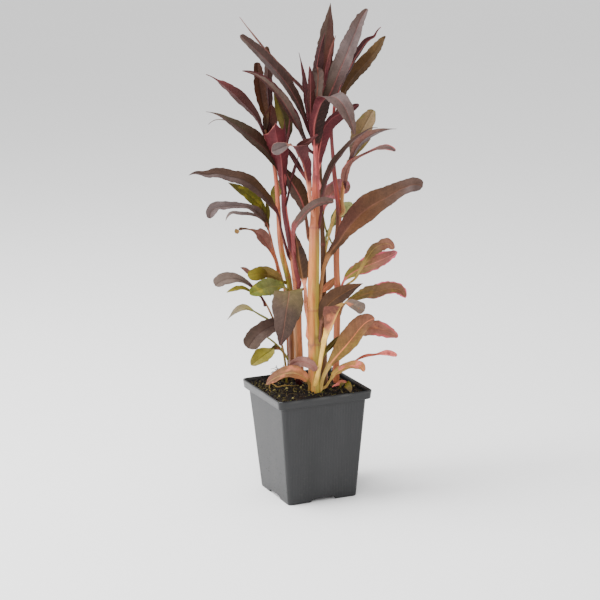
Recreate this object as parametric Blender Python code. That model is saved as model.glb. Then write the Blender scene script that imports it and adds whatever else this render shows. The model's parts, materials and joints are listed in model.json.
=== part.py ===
"""A dark-leaved cardinal flower in a square nursery pot, as a Blender scene.

Run it with: blender --background --python part.py

The plant was laid out as it is seen by an eye in front of it. So a stem's or a leaf's route is a
list of (x, z, y): where the point shows on the upright plane through the middle of the pot, and
how far behind that plane it lies. Everything is in millimetres until a mesh is made.
"""

import math
from collections import namedtuple

import bmesh
import bpy
import numpy as np

MM = 0.001

# The eye that the routes were laid out for, and how far the pot is turned to it
EYE_BACK = 1800.0
EYE_UP = 607.0
POT_TURN = math.radians(23.1)

# The pot: a 9 x 9 x 10 cm square nursery pot
RIM_SIDE = 91.8
BASE_SIDE = 67.8
POT_HEIGHT = 102.0
BODY_TOP_SIDE = 83.0
COLLAR_HEIGHT = 8.2
COLLAR_FOOT_SIDE = 90.2
WALL = 1.3
RIM_ROUND = 4.4
BASE_ROUND = 3.5
FLOOR_LIFT = 3.0
FLOOR_THICK = 1.4
FOOT_WIDTH = 4.5
NOTCH_WIDTH = 25.0
PAD_RADIUS = 9.0
DRAIN_RADIUS = 4.5
DRAIN_OUT = 19.0
CORNER_STEPS = 4

# The soil fills the pot to the rim, and is mounded behind the stems
SOIL_LEVEL = 98.4
SOIL_BACK_RISE = 1.6
MOUND = 6.4
MOUND_AT = (-20.0, 24.0)
MOUND_SPREAD = 19.0
SOIL_EDGE_DROP = 2.6
GAP = 0.35

# Stems are eight-sided tubes, and leaves are folded blades of six points a section
STEM_SIDES = 8
STEM_SECTIONS = 13
LEAF_SECTIONS = 10
STALK_HALF = 1.1
LEAF_MID_HALF = 0.5
LEAF_EDGE_HALF = 0.28
LEAF_SHARPEST = 0.16
SEAT_GAP = 0.55

# Colour, roughness and metallic value of each finish
FINISHES = {
    "pot_black": ((0.062, 0.064, 0.068), 0.42, 0.0),
    "soil": ((0.030, 0.022, 0.015), 0.95, 0.0),
    "stem_pink": ((0.46, 0.20, 0.13), 0.5, 0.0),
    "leaf_bronze": ((0.13, 0.085, 0.075), 0.5, 0.0),
    "leaf_maroon": ((0.13, 0.022, 0.024), 0.45, 0.0),
    "leaf_olive": ((0.22, 0.19, 0.045), 0.5, 0.0),
    "leaf_coral": ((0.55, 0.23, 0.15), 0.5, 0.0),
}

Stem = namedtuple("Stem", "name parent height side route radii")
Leaf = namedtuple(
    "Leaf", "name stem height side route width facing stalk widest point fold finish outline"
)


def stem(name, route, radii, parent=None, height=0, side=0):
    """A stem: its route from the foot up, and its radius at the foot, at mid length and at the top."""
    return Stem(name, parent, height, side, route, radii)


def leaf(name, stem, height, side, route, width, facing=(0,), stalk=0.1, widest=0.45, point=1.0,
         fold=14, finish="leaf_bronze", outline=None):
    """A leaf on a stem at a height, leaving on the side at that bearing (0 right, -90 to the eye).

    facing is how far the top of the blade turns from the eye at even steps along the leaf: 0 shows
    the top, 90 or -90 the edge, 180 the underside. outline gives (share of length, width) pairs
    for a blade that isn't a plain lance.
    """
    return Leaf(name, stem, height, side, route, width, facing, stalk, widest, point, fold, finish,
                outline)


STEMS = (
    stem("main_stem",
         [(7.4, 96, -26), (7.8, 140, -22), (7.7, 180, -18), (9.4, 240, -12), (11.7, 300, -7),
          (11.6, 340, -3), (12.2, 361, -1)], (5.8, 4.9, 1.2)),
    stem("back_stem",
         [(16, 104, -9), (16.5, 160, -5), (17, 220, 0), (16, 277, 6), (15.8, 309, 9)],
         (2.9, 2.4, 1.1)),
    stem("left_stem_inner",
         [(-6.5, 108, 24), (-7, 150, 19), (-7.5, 196, 14), (-10.5, 220, 11.5), (-13.5, 240, 9),
          (-17, 264, 7), (-17, 300, 4), (-18, 321, 1)], (3.9, 2.9, 1.9)),
    stem("left_stem_outer",
         [(-13, 109, 32), (-13, 150, 29), (-14, 196, 26), (-20.5, 228, 24), (-22.5, 262, 21),
          (-23.5, 285, 18), (-26, 308, 15), (-30, 325, 12), (-33, 337, 10)], (3.0, 2.6, 1.5)),
    stem("right_stem",
         [(27, 108, 19), (28, 140, 19), (29.5, 183, 18.5), (29, 224, 18), (31.5, 259, 17),
          (28, 297, 16), (27, 313, 15), (26, 333, 14.5), (27, 349, 14)], (3.0, 2.7, 1.3)),
    stem("right_branch",
         [(34.8, 270, 15.5), (35.8, 283, 15), (37.8, 296, 14.5), (41.3, 309, 14)], (1.5, 1.5, 1.3),
         parent="right_stem", height=261, side=-20),
    stem("thin_shoot",
         [(-16, 113, 40), (-17, 160, 37), (-19, 194, 34), (-23, 210, 31), (-28, 230, 28),
          (-30.5, 242, 26), (-33, 251, 25), (-37, 259, 23)], (1.3, 1.1, 0.9)),
    stem("green_shoot",
         [(-8, 103.5, 35.5), (-12.5, 114, 36.6), (-15, 122, 36.7), (-19, 130, 36.5), (-26, 139, 37),
          (-35.5, 147, 35)], (1.1, 1.0, 0.8)),
    stem("tan_shoot",
         [(-18, 105, 14), (-21, 135, 17), (-26, 155, 19), (-29, 163, 20), (-33, 173, 20),
          (-39, 184, 20)], (1.2, 1.0, 0.8)),
)

LEAVES = (
    # The crown of the main stem, from its lowest leaf up
    leaf("crown_leaf_folded", "main_stem", 270, -115,
         [(7, 281, -16), (6.4, 292, -18), (4.8, 304, -21), (3.8, 311, -24), (2, 318.5, -28),
          (-3, 322, -33), (-9, 322.5, -36), (-18, 320.5, -38), (-26.5, 318, -39)], 16,
         (180, 180, 30), finish="leaf_maroon", fold=18,
         outline=((0, 3), (0.27, 5.5), (0.41, 9), (0.57, 13), (0.65, 8), (0.72, 3.5), (0.86, 12),
                  (1, 13))),
    leaf("crown_leaf_arching", "main_stem", 318, -80,
         [(12, 333, -11), (13, 346, -14), (16.5, 357, -18), (22, 363.5, -25), (29, 365, -34),
          (36, 359, -41), (41, 349, -44), (45, 338, -45), (46.5, 331, -45)], 15.5, (180, 0),
         stalk=0.2, widest=0.55, point=0.9, fold=12),
    leaf("crown_leaf_low_right", "main_stem", 294, -5,
         [(17, 308, -5.5), (18.5, 322, -3), (26, 340, 0), (36, 348, 3), (44, 353, 4),
          (51, 356.5, 5)], 12, (-140, -140), stalk=0.15, widest=0.4, point=1.3,
         finish="leaf_maroon"),
    leaf("crown_leaf_low_left", "main_stem", 316, 180,
         [(3, 331, -8), (-6, 348, -11), (-17, 367, -13), (-25, 374.5, -14), (-36, 382, -15),
          (-43, 388, -15), (-52, 390, -15)], 10, (110, 75, 60), widest=0.55, point=1.6,
         finish="leaf_maroon"),
    leaf("crown_leaf_left", "main_stem", 327, -150,
         [(5, 338, -4), (-3.4, 360, -3), (-13.5, 378, -5), (-23.5, 391, -6), (-35.5, 404, -8),
          (-45.5, 414, -9), (-53, 421, -10)], 12, (50, 35, 28, 25), fold=18,
         outline=((0, 2.6), (0.12, 4), (0.28, 8.5), (0.45, 12), (0.66, 12), (0.86, 9.8),
                  (0.96, 7), (1, 3.5))),
    leaf("crown_leaf_far_left", "main_stem", 345, 150,
         [(7, 356.5, 6), (4, 367, 8), (0, 373, 9), (-10.5, 384, 13), (-22, 396.5, 18),
          (-28, 403.5, 21), (-42, 421.5, 26), (-53, 437, 30)], 7, (125, 125, 105),
         finish="leaf_maroon",
         outline=((0, 2.4), (0.15, 4), (0.35, 6), (0.55, 5.5), (0.64, 3.5), (0.72, 2), (0.9, 1.8),
                  (1, 0.9))),
    leaf("crown_leaf_front", "main_stem", 333, -110,
         [(8.6, 345, -9.5), (8, 360, -12), (8.5, 380, -14), (7.5, 393, -14)], 8, (170, 170),
         widest=0.5, point=0.7, finish="leaf_maroon"),
    leaf("crown_leaf_right", "main_stem", 343, -15,
         [(17, 353, -5), (24.5, 366, -4), (30.5, 379, -4), (34.5, 389, -4), (39.5, 400, -5),
          (43.5, 410, -5), (49, 423, -6), (54, 434.5, -6), (59.5, 442, -6)], 20, (-32, -22),
         outline=((0, 2.4), (0.1, 3.6), (0.25, 13), (0.42, 19), (0.6, 19), (0.78, 13.5), (0.9, 9),
                  (0.97, 5), (1, 2))),
    leaf("crown_leaf_short", "main_stem", 350, -90,
         [(13, 361, -7), (14.5, 375, -9), (15, 386, -9.5), (14.5, 391.5, -9)], 10, (0, 0), fold=10,
         outline=((0, 2.4), (0.2, 7), (0.5, 9.5), (0.8, 10.5), (0.93, 9.5), (1, 6))),
    leaf("crown_leaf_inner", "main_stem", 356, -60,
         [(13.4, 370, -3.5), (13.6, 386, -4), (16, 402, -4), (21.8, 422, -4)], 11, (160, 160),
         stalk=0.08, widest=0.4, point=1.1, finish="leaf_maroon"),
    leaf("crown_leaf_tall", "main_stem", 358, 60,
         [(15.8, 374, 4), (20, 400, 9), (23.8, 425, 14), (27, 448, 18)], 17, (8, 8), stalk=0.05,
         widest=0.4, point=1.0),
    # Leaves low on the main stem
    leaf("stem_leaf_dark_left", "main_stem", 148, 180,
         [(-0.5, 165, -17), (0.2, 180, -13), (1.2, 192, -9), (0.5, 205, -6), (-0.5, 217, -3),
          (-2, 230, 2), (-5.5, 243, 8)], 11, (0, 0), stalk=0.45, widest=0.4),
    leaf("stem_leaf_back_left", "main_stem", 238, 170,
         [(3, 248, -5), (1.5, 262, 2), (-1.5, 277, 6), (-7, 291, 9), (-13, 304, 12)], 13,
         (25, 25), stalk=0.25, widest=0.5),
    leaf("stem_leaf_slender", "main_stem", 250, -30,
         [(16, 262, -16.5), (19.5, 285, -16.5), (26.5, 303, -17), (35.5, 315, -18), (45, 325.5, -19),
          (54.5, 332.5, -20), (61.5, 336.5, -21), (67.5, 337, -22)], 10, (-50, -40), stalk=0.12,
         widest=0.4, point=1.2),
    leaf("stem_leaf_great", "main_stem", 176, -20,
         [(15, 195, -16), (18, 212, -14), (24, 225, -14), (32, 235, -15), (37, 243, -16),
          (49, 257, -18), (60, 266, -20), (74, 273.5, -22), (91, 282.5, -24), (101, 285, -25),
          (107, 283, -25)], 23, (-30, -22, -15), stalk=0.22, widest=0.58, point=0.6, fold=10),
    leaf("stem_leaf_shadow", "main_stem", 146, -40,
         [(14.6, 160, -24), (18.7, 173, -26), (28, 182, -28), (37.6, 188, -29), (52.8, 195.5, -30)],
         18, (-35, -25), stalk=0.15, widest=0.5, point=1.1),
    leaf("base_leaf_folded", "main_stem", 105, -85,
         [(11, 116, -34), (14, 131, -35.5), (18, 145, -37), (21.5, 158, -39), (24, 168, -41.5),
          (27, 173.5, -45), (33, 175, -48), (41, 174, -50.5), (49.5, 171, -52)], 16,
         (180, 180, -150, -20), finish="leaf_coral", fold=16,
         outline=((0, 4), (0.3, 4.5), (0.45, 8), (0.57, 12), (0.67, 15), (0.74, 9), (0.8, 3.5),
                  (0.92, 11), (1, 13))),
    leaf("base_leaf_broad", "main_stem", 98, -30,
         [(15.5, 108, -29.5), (21, 119, -29), (30, 130, -29), (37, 138, -29.5),
          (43.5, 146, -30), (49, 153, -31), (55, 159, -32), (63, 162.5, -33)], 22, (-25, -25),
         finish="leaf_olive",
         outline=((0, 3), (0.2, 4), (0.35, 9), (0.5, 17), (0.65, 22.5), (0.8, 22), (0.92, 15),
                  (1, 4))),
    leaf("base_leaf_peach", "main_stem", 97, 12,
         [(17, 98.5, -22), (21, 104, -20), (27, 112, -18), (35, 116.4, -17), (44, 118.5, -16),
          (49.5, 117.5, -15.5), (52.8, 112.5, -15)], 11.5, (-40, -30), stalk=0.2, widest=0.55,
         point=0.5, finish="leaf_coral"),
    leaf("base_leaf_coral", "main_stem", 97, -140,
         [(1.5, 104, -32), (-5, 110, -34), (-12.5, 112.5, -34), (-19, 112, -32),
          (-26, 109.5, -28), (-33, 105.5, -23), (-37, 102, -19)], 16.5, (40, 38), stalk=0.12,
         widest=0.36, point=0.8, finish="leaf_coral"),
    # The two left stems and their leaves
    leaf("left_leaf_arching", "left_stem_inner", 222, -160,
         [(-17, 232, 3), (-20, 245, 0), (-24, 262.5, -3), (-30, 271, -6), (-36.5, 279, -9),
          (-45, 287, -12), (-56, 293, -16), (-66, 295.5, -18), (-76, 298, -20),
          (-86.5, 297.5, -22), (-97, 299, -24), (-102, 297, -25)], 14.5, (50, 35, 25),
         stalk=0.28, widest=0.5, point=0.9),
    leaf("left_leaf_crossing", "left_stem_inner", 198, -40,
         [(-7.5, 210, 8), (-8.5, 225, 4), (-9.2, 238, -1), (-8, 249, -8), (-2, 256.5, -15),
          (5, 264, -21), (13, 269, -25), (20, 270.5, -27), (27.4, 270.5, -29)], 9, (100, -40, -40),
         outline=((0, 2.4), (0.4, 3), (0.55, 5.5), (0.72, 9), (0.88, 8.5), (1, 3))),
    leaf("left_leaf_spear", "left_stem_inner", 290, 175,
         [(-23, 304, 5), (-29, 314.5, 3), (-38, 324.5, 0), (-48, 333, -4), (-57, 340, -8),
          (-65, 345.5, -11), (-73, 350.5, -13), (-85, 354, -15)], 17.5, (50, 35, 35), stalk=0.04,
         widest=0.33, point=1.4),
    leaf("left_leaf_cup", "left_stem_inner", 314, -90,
         [(-18, 322, -4), (-20, 332, -7), (-23, 345, -9)], 22, (180, 180), stalk=0.05,
         widest=0.6, point=0.45, fold=24, finish="leaf_maroon"),
    leaf("left_leaf_olive_tip", "left_stem_inner", 317, 50,
         [(-14, 337, 9), (-18, 352, 14), (-24, 370, 18)], 10, (20, 10), widest=0.45,
         finish="leaf_olive"),
    leaf("left_leaf_drooping", "left_stem_inner", 168, -90,
         [(-11, 180, 5), (-12.5, 187.5, -4), (-13.5, 188.5, -13), (-14.5, 181, -20),
          (-16.5, 168.5, -25), (-19, 155.5, -28), (-23, 147, -30), (-22.5, 137, -31)], 27,
         (180, 0), fold=8, finish="leaf_bronze",
         outline=((0, 3), (0.18, 5), (0.3, 18), (0.4, 25), (0.58, 26), (0.74, 20), (0.88, 13),
                  (1, 4))),
    leaf("left_leaf_tip_brown", "left_stem_outer", 334, 130,
         [(-31.5, 344.5, 12), (-33, 353.5, 14), (-35, 363.5, 16), (-36.5, 373.5, 18),
          (-37.5, 383.5, 20), (-38.5, 397, 25)], 11, (10, 10), finish="leaf_olive",
         outline=((0, 2.6), (0.2, 5), (0.4, 9), (0.65, 11), (0.85, 9.5), (0.95, 7), (1, 4))),
    leaf("left_leaf_tip_dark", "left_stem_outer", 332, 20,
         [(-29, 345, 16), (-29, 360, 20), (-29.5, 376, 25), (-29, 392.5, 31), (-30, 411, 34)], 9,
         (160, 160), finish="leaf_maroon",
         outline=((0, 2.4), (0.3, 7), (0.5, 8.5), (0.75, 8), (0.92, 6), (1, 2.5))),
    leaf("left_leaf_tip_pointed", "left_stem_outer", 335, -160,
         [(-39.5, 346.5, 6), (-43.5, 352.5, 5), (-52.5, 362, 2), (-58, 368, 0), (-69.5, 378, -3),
          (-79.5, 385, -5), (-84, 387, -5)], 13, (145, 140, 125), finish="leaf_maroon",
         outline=((0, 2.4), (0.1, 4.2), (0.23, 8.5), (0.39, 12.5), (0.53, 14), (0.67, 11.5),
                  (0.79, 8), (0.87, 2.2), (1, 1))),
    leaf("left_leaf_pale", "left_stem_outer", 190, -140,
         [(-20, 194, 17), (-28, 194, 10), (-35, 193, 2), (-42, 190.5, -6), (-50, 187, -13)],
         17, (20, 15), stalk=0.1, widest=0.55, point=0.42, finish="leaf_olive"),
    leaf("left_leaf_green", "left_stem_outer", 197, -175,
         [(-20.5, 198.5, 22), (-25, 201.5, 20.5), (-31.5, 205.5, 20), (-37.5, 209.5, 20),
          (-42, 212.5, 20)], 12, (15, 15), widest=0.45, point=0.7, finish="leaf_olive"),
    leaf("left_leaf_low", "left_stem_outer", 164, -150,
         [(-20, 162, 16), (-28, 158, 7), (-36, 154.5, 0), (-45, 147.5, -6), (-52.5, 136.5, -10)],
         18.5, (20, 15),
         outline=((0, 2.8), (0.2, 8), (0.4, 15), (0.65, 17.5), (0.86, 17.5), (1, 10))),
    # The thin shoots on the left and their leaves
    leaf("shoot_leaf_green", "thin_shoot", 251, 20,
         [(-35.2, 261, 23), (-38.5, 267.5, 21.5), (-43, 272.8, 21), (-50, 279, 20),
          (-58.5, 284.5, 20), (-67, 290, 20)], 12.5, (30, 30), widest=0.45, point=0.9,
         finish="leaf_olive"),
    leaf("shoot_leaf_curled", "thin_shoot", 253, -110,
         [(-40, 261, 15), (-44, 264.5, 12), (-50, 267.5, 10), (-57, 268.5, 8), (-64, 268.5, 7),
          (-71, 268, 6), (-78.5, 267, 5), (-83, 263, 4), (-83.5, 257.5, 3)], 8, (60, 30, 15),
         outline=((0, 2), (0.25, 8), (0.5, 3.2), (0.7, 5.5), (0.9, 6), (1, 3))),
    leaf("shoot_leaf_twisted", "thin_shoot", 211, -160,
         [(-27, 220, 26), (-30, 227, 24), (-34, 234.5, 22), (-38, 240.5, 20), (-43, 244, 18),
          (-49, 246.6, 15), (-55, 247, 13), (-59.5, 246, 12), (-59.3, 243, 11)], 6, (60, 40, 20),
         outline=((0, 1.8), (0.3, 2.2), (0.5, 5.2), (0.62, 4), (0.76, 1.8), (0.9, 3.6), (1, 3))),
    leaf("shoot_leaf_round", "green_shoot", 139.5, -150,
         [(-31, 135, 29), (-37.5, 130.5, 20), (-44, 125.5, 11), (-50.5, 120.5, 5)], 15, (20, 20),
         stalk=0.1, widest=0.5, point=0.6, finish="leaf_olive"),
    leaf("shoot_leaf_grey", "tan_shoot", 180, -110,
         [(-43, 189, 14.5), (-49, 195, 12), (-56, 199.5, 9), (-64, 202, 6), (-73, 200.5, 3),
          (-81, 195.5, 0)], 11, (40, 30),
         outline=((0, 2), (0.3, 3), (0.42, 5), (0.5, 6.5), (0.64, 9.5), (0.79, 11), (0.9, 10),
                  (1, 4.5))),
    leaf("shoot_leaf_fading", "tan_shoot", 157, 150,
         [(-33, 162.5, 22), (-41.5, 168, 24), (-48, 172, 26), (-55, 174.5, 28), (-61, 173, 29),
          (-68, 167, 30), (-71, 163.6, 30)], 7.5, (40, 30), stalk=0.42, widest=0.38, point=1.5,
         finish="leaf_olive"),
    # The right stem, its branch and the back stem
    leaf("right_leaf_twisted", "right_stem", 343, -60,
         [(30.5, 362, 9), (34, 374, 9), (38.5, 383.5, 10), (43, 390.5, 10), (48, 399.5, 11),
          (53, 406.5, 11), (58, 413, 11), (61.5, 415.5, 12), (65, 417.5, 12), (67.5, 422, 12),
          (71, 426, 12)], 9, (-140, -140, -125), finish="leaf_maroon",
         outline=((0, 2.2), (0.2, 4), (0.4, 8), (0.62, 9), (0.78, 8), (0.87, 5), (0.94, 2.5),
                  (1, 1))),
    leaf("right_leaf_high", "right_stem", 346, 50,
         [(31, 352, 17), (36.4, 365.5, 20), (38.8, 371.5, 21), (43.4, 379, 22), (50, 387, 24),
          (57, 394.5, 26), (64, 402.5, 28), (70.5, 412, 29), (75, 418, 30)], 13, (-150, -145),
         stalk=0.12, widest=0.5, point=0.9, finish="leaf_olive"),
    leaf("right_leaf_striped", "right_stem", 190, 15,
         [(37, 200, 19), (43, 205, 20), (52.5, 210, 21), (63, 214, 22), (73, 218.5, 24),
          (84, 224, 25)], 14, (-20, -20), stalk=0.1, widest=0.5, point=0.55, finish="leaf_olive"),
    leaf("right_leaf_tipped", "right_stem", 169, -30,
         [(37, 178, 12), (48, 183, 8), (57, 186, 6), (64, 187, 4), (75, 189.5, 2),
          (86, 188.5, 0), (91, 181, -1)], 15, (-35, -30, -10), stalk=0.15, widest=0.6,
         point=0.6, finish="leaf_olive"),
    leaf("right_leaf_pink", "right_stem", 133, -30,
         [(36, 144, 13), (45, 150, 8), (57, 153, 4), (64, 153.5, 1), (71, 151.5, -1),
          (78, 148, -3), (84, 144.5, -5)], 15, (-15, -10), stalk=0.12, widest=0.6, point=0.5,
         finish="leaf_coral"),
    leaf("right_leaf_thread", "right_stem", 113, -10,
         [(37, 119, 19), (44, 122.5, 21), (49, 125.5, 22), (56, 127.8, 24), (63, 128.5, 26),
          (69, 129.5, 27), (76, 129.5, 29), (83, 127, 30)], 7, (-40, -30), finish="leaf_coral",
         outline=((0, 1.6), (0.3, 1.6), (0.5, 3.6), (0.65, 2.4), (0.85, 7.2), (1, 3))),
    leaf("branch_leaf_blunt", "right_branch", 305, 70,
         [(46, 320, 23), (52.3, 333, 31), (58.3, 344, 39), (63.5, 353, 45)], 17.5, (-10, -10),
         stalk=0.1, widest=0.6, point=0.45, finish="leaf_olive"),
    leaf("branch_leaf_pink", "right_branch", 300, -10,
         [(43.8, 309, 11.5), (47, 317, 13.5), (52.5, 324.5, 15), (59.5, 329.5, 16),
          (66.5, 333, 17), (75, 335, 18), (84, 335.5, 19)], 8.5, (-45, -35), widest=0.4, point=1.6,
         finish="leaf_maroon"),
    leaf("branch_leaf_curled", "right_branch", 288, -60,
         [(39, 298, 9), (43.5, 305.5, 7), (51, 311, 5), (60, 315.5, 3), (70, 318.5, 1),
          (77.5, 318.5, 0), (83, 315.5, -1)], 8, (-30, -60, -20),
         outline=((0, 2.5), (0.3, 8), (0.55, 2.6), (0.8, 5.5), (1, 2))),
    leaf("back_leaf_mottled", "back_stem", 260, 60,
         [(21, 271, 18), (27, 280, 31), (34, 284, 39), (41.5, 281, 45)], 18, (-20, -15),
         widest=0.6, point=0.45, finish="leaf_coral"),
    leaf("back_leaf_pale", "back_stem", 232, 45,
         [(21, 242, 12), (26, 250, 23), (32, 260, 36), (38, 265.5, 44), (44.5, 268, 50)], 12,
         (-15, -10), stalk=0.25, widest=0.65, point=0.4, finish="leaf_olive"),
)


def sighted(route):
    """Real points of a route of (x, z, y) marks: each moves along its line of sight to its depth."""
    marks = np.array(route, float)
    reach = 1 + marks[:, 2] / EYE_BACK
    return np.stack(
        [marks[:, 0] * reach, marks[:, 2], EYE_UP + (marks[:, 1] - EYE_UP) * reach], 1
    )


def turned(points):
    """Points turned from the eye's frame to the pot's."""
    c, s = math.cos(POT_TURN), math.sin(POT_TURN)
    x, y, z = points.T
    return np.stack([x * c + y * s, y * c - x * s, z], 1)


def unit(vectors):
    return vectors / np.linalg.norm(vectors, axis=-1, keepdims=True)


def smooth_run(points, shares):
    """Points at the given shares of the length of a smooth curve through the given points.

    Between two points the curve is a cubic, and its slope at each point is the neighbouring
    spans' slopes, each weighted by the other span's length.
    """
    spans = np.linalg.norm(np.diff(points, axis=0), axis=1)
    knots = np.concatenate([[0], np.cumsum(spans)])
    slopes = np.diff(points, axis=0) / spans[:, None]
    inner = (slopes[:-1] * spans[1:, None] + slopes[1:] * spans[:-1, None]) / (
        spans[1:] + spans[:-1]
    )[:, None]
    tangents = np.concatenate([[2 * slopes[0] - inner[0]], inner, [2 * slopes[-1] - inner[-1]]])
    at = np.asarray(shares) * knots[-1]
    k = np.clip(np.searchsorted(knots, at, side="right") - 1, 0, len(spans) - 1)
    u = ((at - knots[k]) / spans[k])[:, None]
    span = spans[k][:, None]
    return (
        (1 + 2 * u) * (1 - u) ** 2 * points[k]
        + u * (1 - u) ** 2 * span * tangents[k]
        + u**2 * (3 - 2 * u) * points[k + 1]
        + u**2 * (u - 1) * span * tangents[k + 1]
    )


def soil_height(x, y):
    """The soil's top at a place in the pot's frame: a slope to the back with a mound on it."""
    away = np.hypot(x - MOUND_AT[0], y - MOUND_AT[1]) / MOUND_SPREAD
    return SOIL_LEVEL + SOIL_BACK_RISE * y / RIM_SIDE + MOUND * np.exp(-(away**2) / 2)


def stem_centre(spec, height):
    """The stem's axis and radius where it shows at a height on the upright plane."""
    marks = np.array(spec.route, float)
    x, y = (np.interp(height, marks[:, 1], marks[:, k]) for k in (0, 2))
    share = (height - marks[0, 1]) / (marks[-1, 1] - marks[0, 1])
    return sighted([(x, height, y)])[0], np.interp(share, (0, 0.5, 1), spec.radii)


def seat(spec, height, side, clearance):
    """The point beside a stem at a height and bearing, that far off its surface."""
    centre, radius = stem_centre(spec, height)
    bearing = math.radians(side)
    return centre + (radius + clearance) * np.array([math.cos(bearing), math.sin(bearing), 0])


def sections(points, shares):
    """Places, forward directions and directions to the eye at shares of a smooth curve."""
    places = smooth_run(points, shares)
    ahead = unit(np.gradient(places, axis=0))
    to_eye = unit(np.array([0, -EYE_BACK, EYE_UP]) - places)
    return places, ahead, to_eye


def rings_to_mesh(name, rings, closed_ends=True):
    """A mesh of equal rings of points, joined in order, with its two ends filled."""
    mesh = bpy.data.meshes.new(name)
    count = len(rings[0])
    build = bmesh.new()
    made = [[build.verts.new(p * MM) for p in ring] for ring in rings]
    for lower, upper in zip(made, made[1:]):
        for k in range(count):
            n = (k + 1) % count
            build.faces.new((lower[k], lower[n], upper[n], upper[k]))
    if closed_ends:
        build.faces.new(made[0][::-1])
        build.faces.new(made[-1])
    bmesh.ops.recalc_face_normals(build, faces=build.faces)
    build.to_mesh(mesh)
    build.free()
    return mesh


def finish_material(name):
    """The Principled material of a finish, made once."""
    found = bpy.data.materials.get(name)
    if found:
        return found
    colour, roughness, metallic = FINISHES[name]
    made = bpy.data.materials.new(name)
    made.use_nodes = True
    shader = made.node_tree.nodes["Principled BSDF"]
    shader.inputs["Base Color"].default_value = (*colour, 1)
    shader.inputs["Roughness"].default_value = roughness
    shader.inputs["Metallic"].default_value = metallic
    return made


def add_object(name, mesh, finish):
    made = bpy.data.objects.new(name, mesh)
    bpy.context.scene.collection.objects.link(made)
    mesh.materials.append(finish_material(finish))
    return made


def make_stem(spec, stems):
    """A tapered tube along the stem's route, cut off just above the soil or beside its parent."""
    marks = sighted(spec.route)
    if spec.parent:
        foot = seat(stems[spec.parent], spec.height, spec.side, spec.radii[0] + GAP)
        marks = np.concatenate([[foot], marks])
    else:
        x, y, _ = turned(marks[:1])[0]
        marks[0, 2] = soil_height(x, y) + SEAT_GAP + spec.radii[0] * 0.12
    shares = np.linspace(0, 1, STEM_SECTIONS)
    places, ahead, to_eye = sections(marks, shares)
    ahead[0] = ahead[0] if spec.parent else (0, 0, 1)
    side = unit(np.cross(ahead, to_eye))
    front = np.cross(side, ahead)
    radius = np.interp(shares, (0, 0.5, 1), spec.radii)
    turn = np.arange(STEM_SIDES) * math.tau / STEM_SIDES
    rings = places[:, None] + radius[:, None, None] * (
        np.cos(turn)[None, :, None] * side[:, None] + np.sin(turn)[None, :, None] * front[:, None]
    )
    rings = turned(rings.reshape(-1, 3)).reshape(rings.shape)
    mesh = rings_to_mesh(spec.name, rings)
    mesh.shade_smooth()
    mesh.set_sharp_from_angle(angle=math.radians(60))
    add_object(spec.name, mesh, "stem_pink")


def half_widths(spec, shares):
    """Half the blade's width at shares of its length: a stalk, then a lance or the outline given."""
    if spec.outline:
        at, width = np.array(spec.outline, float).T
        return np.interp(shares, at, width) / 2
    along = np.clip((shares - spec.stalk) / (1 - spec.stalk), 0, 1)
    rise = np.sin(np.clip(along / spec.widest, 0, 1) * math.pi / 2)
    fall = np.cos(np.clip((along - spec.widest) / (1 - spec.widest), 0, 1) * math.pi / 2)
    blade = spec.width / 2 * rise * np.maximum(fall, 0) ** spec.point
    stalk = STALK_HALF * np.clip(1.6 - shares * 2, 0, 1)
    return np.maximum(np.maximum(blade, stalk), LEAF_SHARPEST * 2)


def blade_sides(ahead, to_eye, facing, shares):
    """Directions across the blade: worked out from facing at even steps, and blended between."""
    stops = np.linspace(0, 1, len(facing))
    near = [int(np.argmin(abs(shares - s))) for s in stops]
    flat_side = unit(np.cross(ahead[near], to_eye[near]))
    flat_front = np.cross(flat_side, ahead[near])
    turn = np.radians(facing)[:, None]
    held = np.cos(turn) * flat_side - np.sin(turn) * flat_front
    across = np.stack([np.interp(shares, stops, held[:, k]) for k in range(3)], 1)
    across -= (across * ahead).sum(1, keepdims=True) * ahead
    return unit(across)


def make_leaf(spec, stems):
    """A thin folded blade: each section is two margins and a midrib, on the top and below."""
    clearance = LEAF_MID_HALF + SEAT_GAP
    foot = seat(stems[spec.stem], spec.height, spec.side, clearance)
    marks = np.concatenate([[foot], sighted(spec.route)])
    shares = np.linspace(0, 1, LEAF_SECTIONS)
    if spec.outline:
        shares = np.unique(np.concatenate([shares, [at for at, _ in spec.outline]]).round(3))
        shares = shares[np.concatenate([[True], np.diff(shares) > 0.03])]
        shares[-1] = 1
    places, ahead, to_eye = sections(marks, shares)
    across = blade_sides(ahead, to_eye, spec.facing if len(spec.facing) > 1 else spec.facing * 2,
                         shares)
    above = np.cross(across, ahead)
    half = half_widths(spec, shares)[:, None]
    tilt = math.radians(spec.fold)
    out, up = half * math.cos(tilt), half * math.sin(tilt)
    slim = np.clip(half / STALK_HALF, 0.45, 1)
    mid, edge = LEAF_MID_HALF * slim, LEAF_EDGE_HALF * slim
    left = places - across * out + above * up
    right = places + across * out + above * up
    ring = [
        left + above * edge,
        places + above * mid,
        right + above * edge,
        right - above * edge,
        places - above * mid,
        left - above * edge,
    ]
    rings = turned(np.stack(ring, 1).reshape(-1, 3)).reshape(len(shares), 6, 3)
    mesh = rings_to_mesh(spec.name, rings)
    mesh.shade_smooth()
    mesh.set_sharp_from_angle(angle=math.radians(50))
    add_object(spec.name, mesh, spec.finish)


def rounded_square(half, radius, height):
    """Points round a square with rounded corners, at one height."""
    points = []
    for corner in range(4):
        middle = math.radians(45 + 90 * corner)
        cx, cy = (math.copysign(half - radius, f(middle)) for f in (math.cos, math.sin))
        for step in range(CORNER_STEPS + 1):
            turn = middle + math.radians(90 * step / CORNER_STEPS - 45)
            points.append((cx + radius * math.cos(turn), cy + radius * math.sin(turn), height))
    return np.array(points)


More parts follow.
